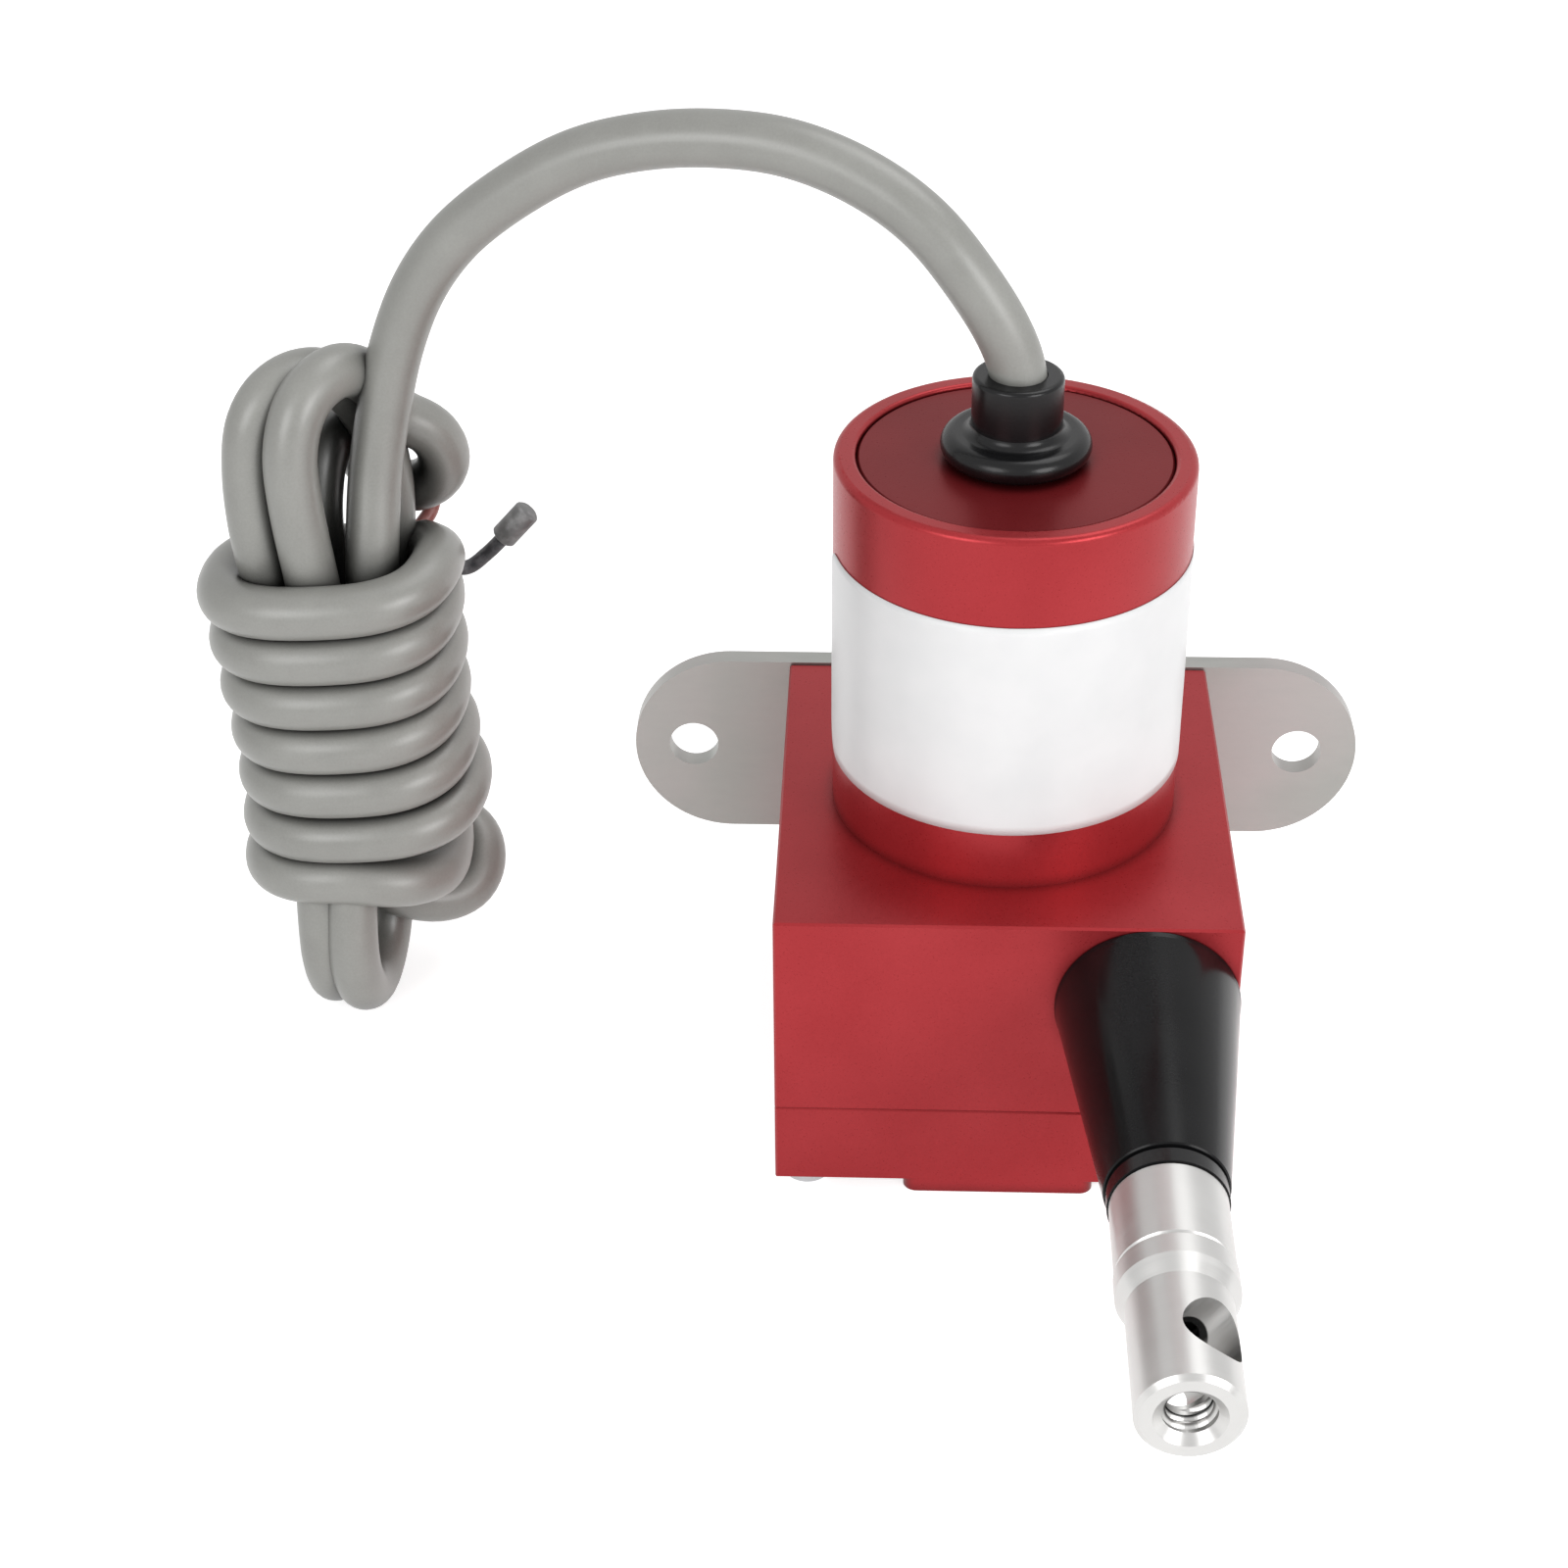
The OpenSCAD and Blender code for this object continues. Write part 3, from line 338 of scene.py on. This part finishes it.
class Shader:
    """A material under construction: a Principled shader and the nodes that feed it."""

    def __init__(self, name, **sockets):
        self.material = bpy.data.materials.new(name)
        self.material.use_nodes = True
        self.tree = self.material.node_tree
        self.surface = self.tree.nodes["Principled BSDF"]
        self.place = self.add("ShaderNodeTexCoord").outputs["Object"]
        for socket, value in sockets.items():
            self.surface.inputs[socket.replace("_", " ")].default_value = value

    def add(self, kind, **settings):
        node = self.tree.nodes.new(kind)
        for name, value in settings.items():
            setattr(node, name, value)
        return node

    def join(self, output, socket):
        self.tree.links.new(output, socket)

    def noise(self, size, detail=2, stretch=(1, 1, 1), roughness=0.5):
        """Noise whose features are about size millimetres wide, longer along a stretched axis."""
        spread = self.add("ShaderNodeMapping")
        self.join(self.place, spread.inputs["Vector"])
        spread.inputs["Scale"].default_value = [1 / (size * MM * s) for s in stretch]
        texture = self.add("ShaderNodeTexNoise")
        self.join(spread.outputs["Vector"], texture.inputs["Vector"])
        texture.inputs["Scale"].default_value = 1
        texture.inputs["Detail"].default_value = detail
        texture.inputs["Roughness"].default_value = roughness
        return texture.outputs["Fac"]

    def ramp(self, factor, low, high, first=NOISE_LOW, last=NOISE_HIGH):
        """Colours from low to high as factor goes from first to last."""
        node = self.add("ShaderNodeValToRGB")
        self.join(factor, node.inputs["Fac"])
        node.color_ramp.elements[0].position = first
        node.color_ramp.elements[0].color = (*low, 1)
        node.color_ramp.elements[1].position = last
        node.color_ramp.elements[1].color = (*high, 1)
        return node.outputs["Color"]

    def span(self, factor, low, high):
        """A number from low to high as a noise goes from its low to its high."""
        node = self.add("ShaderNodeMapRange")
        self.join(factor, node.inputs["Value"])
        node.inputs["From Min"].default_value = NOISE_LOW
        node.inputs["From Max"].default_value = NOISE_HIGH
        node.inputs["To Min"].default_value = low
        node.inputs["To Max"].default_value = high
        return node.outputs["Result"]

    def near(self, distance, limit, edge):
        """One where the distance is under the limit, fading to nothing over the edge."""
        node = self.add("ShaderNodeMapRange", interpolation_type="SMOOTHSTEP")
        self.join(distance, node.inputs["Value"])
        node.inputs["From Min"].default_value = limit - edge
        node.inputs["From Max"].default_value = limit + edge
        node.inputs["To Min"].default_value = 1
        node.inputs["To Max"].default_value = 0
        return node.outputs["Result"]

    def blend(self, first, second, share, mode="MIX"):
        """Two colour outputs mixed; share is the second's part, a number or an output."""
        node = self.add("ShaderNodeMix", data_type="RGBA", blend_type=mode)
        factor, colour_a, colour_b = [node.inputs[i] for i in MIX_INPUTS]
        if isinstance(share, bpy.types.NodeSocket):
            self.join(share, factor)
        else:
            factor.default_value = share
        self.join(first, colour_a)
        self.join(second, colour_b)
        return node.outputs[MIX_OUTPUT]

    def bumps(self, *layers):
        """Stacks bumps, each a height output and its depth in millimetres."""
        normal = None
        for height, depth in layers:
            node = self.add("ShaderNodeBump")
            node.inputs["Distance"].default_value = depth * MM
            self.join(height, node.inputs["Height"])
            if normal:
                self.join(normal, node.inputs["Normal"])
            normal = node.outputs["Normal"]
        self.join(normal, self.surface.inputs["Normal"])

    def painted_gap_shade(self, output, reach, depth, closed, open_air):
        """The colour output darkened to depth in narrow gaps, as painted shade where neighbouring
        surfaces block the light.

        The share of free directions within reach, in millimetres, goes from closed to open_air.
        """
        node = self.add("ShaderNodeAmbientOcclusion", samples=GAP_SAMPLES)
        node.inputs["Distance"].default_value = reach * MM
        # Painted shade: the occlusion ramp darkens the colour where little light reaches.
        painted_shade = self.ramp(node.outputs["AO"], (depth,) * 3, (1, 1, 1), closed, open_air)
        return self.blend(output, painted_shade, share=1, mode="MULTIPLY")

    def turned(self, strength):
        """Fine rings round the wire's line, which draw each reflection out along it."""
        rings = self.add("ShaderNodeTangent", direction_type="RADIAL", axis="Y")
        self.join(rings.outputs["Tangent"], self.surface.inputs["Tangent"])
        self.surface.inputs["Anisotropic"].default_value = strength
        self.surface.inputs["Anisotropic Rotation"].default_value = QUARTER_TURN

    def from_wire_line(self):
        """The distance from the wire's line in millimetres."""
        offset = self.add("ShaderNodeVectorMath", operation="SUBTRACT")
        self.join(self.place, offset.inputs[0])
        offset.inputs[1].default_value = centre("swivel_head")
        flat = self.add("ShaderNodeVectorMath", operation="MULTIPLY")
        self.join(offset.outputs["Vector"], flat.inputs[0])
        flat.inputs[1].default_value = (1 / MM, 0, 1 / MM)
        size = self.add("ShaderNodeVectorMath", operation="LENGTH")
        self.join(flat.outputs["Vector"], size.inputs[0])
        return size.outputs["Value"]

    def colour(self, output):
        self.join(output, self.surface.inputs["Base Color"])

    def roughness(self, output):
        self.join(output, self.surface.inputs["Roughness"])


# Anodising: the low and high ends of its cloudy tone, then those of its fine grain
RED_CLOUDS = (0.345, 0.022, 0.027), (0.395, 0.031, 0.037)
RED_GRAIN = (0.30, 0.017, 0.021), (0.50, 0.055, 0.063)


def anodised_red(name, painted_shade, specular):
    """Bead-blasted aluminium under red anodising: a fine sparkling grain over soft cloudy tones.
    Seams and corners get painted shade, and a shade factor under one darkens the whole part as
    painted shade.
    """
    s = Shader(name, Metallic=0.4, Specular_IOR_Level=specular)
    clouds = s.noise(size=11, detail=3)
    grain = s.noise(size=0.2, roughness=0.6)
    # Below one, the shade factor darkens every tone alike: painted shade over the whole part.
    dull, bright, low, high = [[c * painted_shade for c in tone] for tone in (*RED_CLOUDS, *RED_GRAIN)]
    speck = s.ramp(grain, low, high, first=0.22, last=0.80)
    mixed = s.blend(s.ramp(clouds, dull, bright), speck, share=0.16)
    # Painted shade: occlusion darkens seams and corners where neighbouring faces block the light.
    s.colour(s.painted_gap_shade(mixed, reach=2.5, depth=0.30, closed=0.30, open_air=0.72))
    s.roughness(s.span(grain, low=0.27, high=0.36))
    s.bumps((grain, 0.007), (s.noise(size=0.6), 0.004))
    return s.material


def steel(name, tone, rough, mottle=6, brush=(1, 1, 1)):
    """Metal with a mottled tone, mottle millimetres wide, and fine brushing along one axis."""
    s = Shader(name, Metallic=1)
    clouds = s.noise(size=mottle, detail=5, roughness=0.6)
    lines = s.noise(size=0.12, detail=3, stretch=brush)
    dark = [c * 0.86 for c in tone]
    light = [min(c * 1.08, 1) for c in tone]
    s.colour(s.blend(s.ramp(clouds, dark, light), s.ramp(lines, dark, light), share=0.35))
    s.roughness(s.span(lines, low=rough - 0.07, high=rough + 0.09))
    s.bumps((lines, 0.006), (clouds, 0.01))
    return s.material


def rolled_plate():
    """Pale rolled plate: satin grey between warm and cool tones, with faint rolling marks."""
    s = Shader("plate_steel", Metallic=0.8)
    drift = s.noise(size=16, roughness=0.45)
    marks = s.noise(size=1.3, detail=3, stretch=(3, 1, 1))
    tone = s.ramp(drift, (0.345, 0.355, 0.335), (0.41, 0.385, 0.375), first=0.36, last=0.64)
    streaks = s.ramp(marks, (0.28, 0.28, 0.27), (0.52, 0.51, 0.50))
    s.colour(s.blend(tone, streaks, share=0.10))
    s.roughness(s.span(marks, low=0.36, high=0.44))
    s.bumps((s.noise(size=0.16), 0.005), (marks, 0.004))
    return s.material


# The bore of the wire end, painted dark as shade: its radius and its edge's softness in millimetres
BORE_R = 1.9
BORE_EDGE = 0.08
BORE_SHADE_RIDGES = 190


def turned_metal(name, tone, rough):
    """Metal from the lathe: fine rings round the wire's line, and painted shade in dark bands deep
    in the bore.
    """
    s = Shader(name, Metallic=1)
    s.turned(strength=0.6)
    rings = s.noise(size=0.10, stretch=(60, 1, 60))
    clouds = s.noise(size=4)
    dark = [c * 0.93 for c in tone]
    metal = s.blend(s.ramp(rings, dark, tone), s.ramp(clouds, dark, tone), share=0.5)
    # Painted shade: the bore is darkened in rings, standing in for the shadows between thread turns
    # deep in the hole.
    bore = s.near(s.from_wire_line(), BORE_R, BORE_EDGE)
    ridges = s.add("ShaderNodeTexWave", wave_type="BANDS", bands_direction="Y")
    s.join(s.place, ridges.inputs["Vector"])
    ridges.inputs["Scale"].default_value = BORE_SHADE_RIDGES
    bore_shade = s.ramp(ridges.outputs["Fac"], (0.02, 0.02, 0.02), (0.16, 0.155, 0.15),
                    first=0.55, last=0.95)
    s.colour(s.blend(metal, bore_shade, share=bore))
    s.roughness(s.span(rings, low=rough - 0.04, high=rough + 0.06))
    s.bumps((rings, 0.003))
    return s.material


def rubber(name, tone, rough, specular):
    """Moulded rubber or plastic: an even black with a faint grain."""
    s = Shader(name, Specular_IOR_Level=specular)
    grain = s.noise(size=0.25, detail=3)
    drift = s.noise(size=7)
    light = [c * 1.25 + 0.002 for c in tone]
    s.colour(s.blend(s.ramp(drift, tone, light), s.ramp(grain, tone, light), share=0.5))
    s.roughness(s.span(drift, low=rough - 0.03, high=rough + 0.04))
    s.bumps((grain, 0.005))
    return s.material


def white_label():
    """Satin white polyester film with the lightest orange peel."""
    s = Shader("white_label", Specular_IOR_Level=0.45, Coat_Weight=0.15, Coat_Roughness=0.25)
    drift = s.noise(size=6, detail=3)
    s.colour(s.ramp(drift, (0.82, 0.825, 0.83), (0.87, 0.87, 0.875)))
    s.roughness(s.span(drift, low=0.34, high=0.42))
    s.bumps((s.noise(size=0.7), 0.004))
    return s.material


def cable_jacket():
    """Grey PVC jacket: satin, a little uneven from extrusion, with painted shade between the wraps
    and in the hank's hollows.
    """
    s = Shader("grey_jacket", Specular_IOR_Level=0.7)
    clouds = s.noise(size=7, detail=4, roughness=0.6)
    grain = s.noise(size=0.22, detail=3)
    tone = s.ramp(clouds, (0.262, 0.262, 0.243), (0.312, 0.312, 0.292))
    speck = s.ramp(grain, (0.24, 0.24, 0.225), (0.38, 0.38, 0.36))
    jacket = s.blend(tone, speck, share=0.15)
    # Painted shade: occlusion darkens the gaps between wraps and the hollows of the hank.
    s.colour(s.painted_gap_shade(jacket, reach=8, depth=0.03, closed=0.12, open_air=0.74))
    s.roughness(s.span(clouds, low=0.30, high=0.42))
    s.bumps((grain, 0.006), (clouds, 0.02))
    return s.material


def insulation(name, tone, end_tone):
    """A conductor's thin insulation, scuffed towards a second tone."""
    s = Shader(name, Specular_IOR_Level=0.5)
    scuffs = s.noise(size=0.9, detail=4)
    s.colour(s.ramp(scuffs, tone, end_tone, first=0.42, last=0.72))
    s.roughness(s.span(scuffs, low=0.38, high=0.55))
    s.bumps((s.noise(size=0.3), 0.008))
    return s.material


def felt():
    """Pale felt with short loose fibres."""
    s = Shader("felt", Sheen_Weight=0.4, Roughness=0.9)
    fibres = s.noise(size=0.12, detail=5, stretch=(1, 4, 1))
    s.colour(s.ramp(fibres, (0.55, 0.52, 0.44), (0.78, 0.75, 0.68)))
    s.bumps((fibres, 0.06))
    return s.material


def plain_plastic(name, tone):
    """Moulded plastic with a fine spark-eroded grain."""
    s = Shader(name, Specular_IOR_Level=0.5)
    grain = s.noise(size=0.2, detail=4)
    light = [c * 1.25 + 0.01 for c in tone]
    s.colour(s.ramp(s.noise(size=4, detail=3), tone, light))
    s.roughness(s.span(grain, low=0.38, high=0.5))
    s.bumps((grain, 0.01))
    return s.material


MATERIALS = {
    "red_anodised": anodised_red("red_anodised", painted_shade=1, specular=0.22),
    "zinc_steel": rolled_plate(),
    "steel": steel("steel", (0.48, 0.48, 0.49), rough=0.34),
    "polished_steel": steel("polished_steel", (0.72, 0.72, 0.73), rough=0.18, mottle=3),
    "turned_aluminium": steel("turned_aluminium", (0.72, 0.72, 0.71), rough=0.32, mottle=5),
    "black_rubber": rubber("black_rubber", (0.004, 0.004, 0.0045), rough=0.24, specular=0.28),
    "black_plastic": rubber("black_plastic", (0.005, 0.005, 0.0055), rough=0.20, specular=0.15),
    "white_label": white_label(),
    "bronze": steel("bronze", (0.62, 0.42, 0.20), rough=0.35, mottle=2),
    "felt": felt(),
    "spring_steel": steel("spring_steel", (0.42, 0.44, 0.50), rough=0.28, mottle=4,
                          brush=(8, 8, 1)),
    "blue_plastic": plain_plastic("blue_plastic", (0.02, 0.09, 0.28)),
    "brass_pins": steel("brass_pins", (0.78, 0.58, 0.25), rough=0.3, mottle=1),
    "lead_insulation": insulation("lead_insulation", (0.42, 0.03, 0.03), (0.5, 0.05, 0.05)),
    "grey_jacket": cable_jacket(),
    "conductor_insulation": insulation("dark_insulation", (0.045, 0.045, 0.05), (0.16, 0.16, 0.17)),
}
# Materials for single pieces of a slot
WIRE_END_METAL = turned_metal("wire_end_metal", (0.58, 0.575, 0.565), rough=0.36)
ROPE_STEEL = steel("rope_steel", (0.30, 0.30, 0.31), rough=0.30, mottle=2)
# The cap in the same red, painted darker: painted shade and dark reflection standing in for what
# falls on it.
CAP_RED_PAINTED_SHADE = anodised_red("cap_red_painted_shade", painted_shade=0.52, specular=0.08)
RED_INSULATION = insulation("red_insulation", (0.36, 0.13, 0.115), (0.44, 0.22, 0.20))
SLEEVE_PLASTIC = insulation("sleeve_plastic", (0.16, 0.16, 0.16), (0.30, 0.30, 0.30))


def wear(piece, material):
    """Gives a piece one material in place of any that it has."""
    piece.data.materials.clear()
    piece.data.materials.append(material)


def dress_frame():
    """The CAD solids in their slots' materials, and the cable's pieces in theirs."""
    for part in frame["record"]["subparts"]:
        wear(frame["nodes"][part["node"]], MATERIALS[part["material_slot"]])
    # The cap wears the darker copy of the red, its painted shade.
    wear(frame["nodes"]["can_cap"], CAP_RED_PAINTED_SHADE)
    for node in ("ferrule", "swivel_head"):
        wear(frame["nodes"][node], WIRE_END_METAL)
    wear(cable, MATERIALS["grey_jacket"])
    wear(dark_conductor, MATERIALS["conductor_insulation"])
    wear(red_conductor, RED_INSULATION)
    wear(conductor_sleeve, SLEEVE_PLASTIC)


# ---------------------------------------------------------------- pieces

def dressed_piece(name, verts, faces, body, slot, smooth=True):
    """A new piece in its slot's material."""
    piece = new_piece(name, verts, faces, body, smooth)
    wear(piece, MATERIALS[slot])
    return piece


# Where the label starts round the can and how far it goes, in degrees
LABEL_START = 183
LABEL_ARC = 302
LABEL_CORNER = 3.2 * MM
LABEL_LIFT = 0.02 * MM
LABEL_T = 0.08 * MM
LABEL_COLUMNS = 180
LABEL_ROWS = 24
LABEL_CORNER_STEPS = 10


def make_label():
    """The bare wrap-round label: a thin film on the can with round corners at both ends."""
    low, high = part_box("label")
    axis = centre("can_cap")
    can_low, can_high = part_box("sensor_can")
    radius = (can_high.x - can_low.x) / 2 + LABEL_LIFT
    length = radius * math.radians(LABEL_ARC)
    rows = LABEL_ROWS

    def inset(distance):
        """How far the edge is cut back at a distance from an end, where the corner is round."""
        d = min(distance, length - distance)
        if d >= LABEL_CORNER:
            return 0
        return LABEL_CORNER - math.sqrt(max(LABEL_CORNER ** 2 - (LABEL_CORNER - d) ** 2, 0))

    corner = [LABEL_CORNER * (1 - math.cos(math.pi / 2 * k / LABEL_CORNER_STEPS))
              for k in range(LABEL_CORNER_STEPS)]
    straight = length - 2 * LABEL_CORNER
    middle = [LABEL_CORNER + straight * k / LABEL_COLUMNS for k in range(LABEL_COLUMNS + 1)]
    stops = corner + middle + [length - d for d in reversed(corner)]
    verts, faces = [], []
    for layer in (0, LABEL_T):
        for d in stops:
            angle = math.radians(LABEL_START) + d / radius
            bottom = low.z + inset(d)
            top = high.z - inset(d)
            for k in range(rows + 1):
                z = bottom + (top - bottom) * k / rows
                verts.append((axis.x + (radius + layer) * math.cos(angle),
                              axis.y + (radius + layer) * math.sin(angle), z))
    count, stride = len(stops), rows + 1
    shift = count * stride
    for i in range(count - 1):
        for k in range(rows):
            a, b = i * stride + k, (i + 1) * stride + k
            faces.append((a, a + 1, b + 1, b))
            faces.append((shift + a, shift + b, shift + b + 1, shift + a + 1))
        for k in (0, rows):
            a, b = i * stride + k, (i + 1) * stride + k
            faces.append((a, b, shift + b, shift + a) if k == 0 else (b, a, shift + a, shift + b))
    for i in (0, count - 1):
        for k in range(rows):
            a = i * stride + k
            faces.append((a, a + shift, a + shift + 1, a + 1) if i == 0 else
                         (a + 1, a + shift + 1, a + shift, a))
    piece = dressed_piece("label_film", verts, faces, "housing", "white_label")
    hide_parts("label")


WIRE_STRANDS = 7
WIRE_LAY = 4.2 * MM
WIRE_SIDES = 8
WIRE_ROWS = 260


def make_pull_wire():
    """The stranded wire, which runs between the drum and the ferrule."""
    low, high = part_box("pull_wire")
    radius = (high.x - low.x) / 2
    x, z = (low.x + high.x) / 2, (low.z + high.z) / 2
    strand_r = radius / 3
    sides, rows = WIRE_SIDES, WIRE_ROWS
    verts, faces = [], []
    for strand in range(WIRE_STRANDS):
        off = 0 if strand == 0 else radius - strand_r
        first = len(verts)
        for i in range(rows + 1):
            y = high.y + (low.y - high.y) * i / rows
            turn = 2 * math.pi * (y / WIRE_LAY + strand / (WIRE_STRANDS - 1))
            cx, cz = x + off * math.cos(turn), z + off * math.sin(turn)
            for k in range(sides):
                a = 2 * math.pi * k / sides
                verts.append((cx + strand_r * math.cos(a), y, cz + strand_r * math.sin(a)))
        for i in range(rows):
            for k in range(sides):
                a, b = first + i * sides + k, first + i * sides + (k + 1) % sides
                faces.append((a, b, b + sides, a + sides))
        faces.append(tuple(first + k for k in reversed(range(sides))))
        faces.append(tuple(first + rows * sides + k for k in range(sides)))
    piece = dressed_piece("wire_strands", verts, faces, None, "steel")
    wear(piece, ROPE_STEEL)
    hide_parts("pull_wire")
    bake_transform(piece)


THREAD_PITCH = 0.8 * MM
THREAD_DEPTH = 0.34 * MM
THREAD_WALL = 2.1 * MM
THREAD_SUNK = 0.03 * MM
THREAD_START = 0.75 * MM
# The ridge's half width as a share of the pitch, and what is left of it where it fades out
THREAD_HALF = 0.42
THREAD_LEAST = 0.05
STEPS_PER_TURN = 48
FADE_STEPS = 12
FADE_LENGTH = 0.4 * MM
# The cross hole: its distance from the end, its radius and its direction in degrees
CROSS_END = 6 * MM
CROSS_R = 2.8 * MM
CROSS_ANGLE = 54


def make_thread():
    """The ridge of the tapped hole in the swivel head's end; it stops where the cross hole is."""
    low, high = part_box("swivel_head")
    x, z = (low.x + high.x) / 2, (low.z + high.z) / 2
    start, stop = low.y + THREAD_START, low.y + CROSS_END
    turns = (stop - start) / THREAD_PITCH
    steps = int(turns * STEPS_PER_TURN)
    half = THREAD_PITCH * THREAD_HALF
    root = THREAD_WALL + THREAD_SUNK
    verts, crest, faces = [], [], []
    for i in range(steps + 1):
        a = 2 * math.pi * turns * i / steps
        y = start + (stop - start) * i / steps
        aside = THREAD_WALL * math.sin(a - math.radians(CROSS_ANGLE))
        clear = math.hypot(aside, low.y + CROSS_END - y) - CROSS_R - half
        fade = min(1, i / FADE_STEPS, max(clear, 0) / FADE_LENGTH)
        crest.append(fade)
        width = max(fade, THREAD_LEAST)
        for r, dy in ((root, -half), (THREAD_WALL - THREAD_DEPTH * fade, 0), (root, half)):
            verts.append((x + r * math.cos(a), y + dy * width, z + r * math.sin(a)))
    for i in range(steps):
        if crest[i] <= 0 and crest[i + 1] <= 0:
            continue
        a = 3 * i
        for k in range(3):
            b = a + (k + 1) % 3
            faces.append((a + k, b, b + 3, a + k + 3))
    thread = new_piece("end_thread", verts, faces, "head", smooth=False)
    wear(thread, WIRE_END_METAL)


# ---------------------------------------------------------------- stage and light

FLOOR_HALF = 3
FLOOR_GLOW = 0.7
ROOM_STRENGTH = 0.36
# Each lamp's place, what it points at, its width and height, and its power in watts
LAMPS = {
    "key": ((-0.30, -0.46, 0.27), (0, -0.03, 0.01), (0.32, 0.32), 1.05),
    "fill": ((0.36, -0.42, 0.22), (0, -0.03, 0), (0.30, 0.30), 1.4),
    "top": ((0.16, 0.10, 0.48), (-0.02, -0.03, 0.01), (0.35, 0.30), 0.7),
}


def seen(tree):
    """One for the rays that see the background itself: camera, glossy and transmission rays."""
    rays = tree.nodes.new("ShaderNodeLightPath")
    total = rays.outputs["Is Camera Ray"]
    for name in ("Is Glossy Ray", "Is Transmission Ray"):
        most = tree.nodes.new("ShaderNodeMath")
        most.operation = "MAXIMUM"
        tree.links.new(total, most.inputs[0])
        tree.links.new(rays.outputs[name], most.inputs[1])
        total = most.outputs["Value"]
    return total


def make_stage():
    """A pale floor that the camera sees as white, with the object's shadow on it."""
    floor_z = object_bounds()[0][2]
    data = bpy.data.meshes.new("floor")
    signs = [(-1, -1), (1, -1), (1, 1), (-1, 1)]
    corners = [(x * FLOOR_HALF, y * FLOOR_HALF, floor_z) for x, y in signs]
    data.from_pydata(corners, [], [(0, 1, 2, 3)])
    floor = bpy.data.objects.new("floor", data)
    bpy.context.scene.collection.objects.link(floor)
    s = Shader("floor", Roughness=0.9, Specular_IOR_Level=0.1)
    s.colour(s.ramp(s.noise(size=60), (0.87, 0.87, 0.87), (0.89, 0.89, 0.89)))
    glow = s.add("ShaderNodeMath", operation="MULTIPLY")
    s.join(seen(s.tree), glow.inputs[0])
    glow.inputs[1].default_value = FLOOR_GLOW
    s.surface.inputs["Emission Color"].default_value = (1, 1, 1, 1)
    s.join(glow.outputs["Value"], s.surface.inputs["Emission Strength"])
    wear(floor, s.material)


def soft_box(name, place, target, size, power):
    """A round area lamp at a place, pointing at its target."""
    data = bpy.data.lights.new(name, "AREA")
    data.shape = "ELLIPSE"
    data.size, data.size_y = size
    data.energy = power
    light = bpy.data.objects.new(name, data)
    aim = (Vector(target) - Vector(place)).to_track_quat("-Z", "Y")
    light.matrix_world = Matrix.Translation(place) @ aim.to_matrix().to_4x4()
    bpy.context.scene.collection.objects.link(light)


def make_light():
    """A bright room, white where it is seen, and three soft boxes."""
    world = bpy.data.worlds.new("world")
    bpy.context.scene.world = world
    world.use_nodes = True
    tree = world.node_tree
    room = tree.nodes["Background"]
    room.inputs["Color"].default_value = (1, 1, 1, 1)
    room.inputs["Strength"].default_value = ROOM_STRENGTH
    white = tree.nodes.new("ShaderNodeBackground")
    white.inputs["Color"].default_value = (1, 1, 1, 1)
    white.inputs["Strength"].default_value = 1
    mix = tree.nodes.new("ShaderNodeMixShader")
    tree.links.new(seen(tree), mix.inputs["Fac"])
    tree.links.new(room.outputs["Background"], mix.inputs[1])
    tree.links.new(white.outputs["Background"], mix.inputs[2])
    tree.links.new(mix.outputs["Shader"], tree.nodes["World Output"].inputs["Surface"])
    for name, (place, target, size, power) in LAMPS.items():
        soft_box(name, place, target, size, power)


dress_frame()
make_label()
make_pull_wire()
make_thread()
make_stage()
make_light()
scene = bpy.context.scene
scene.view_settings.view_transform = "Standard"
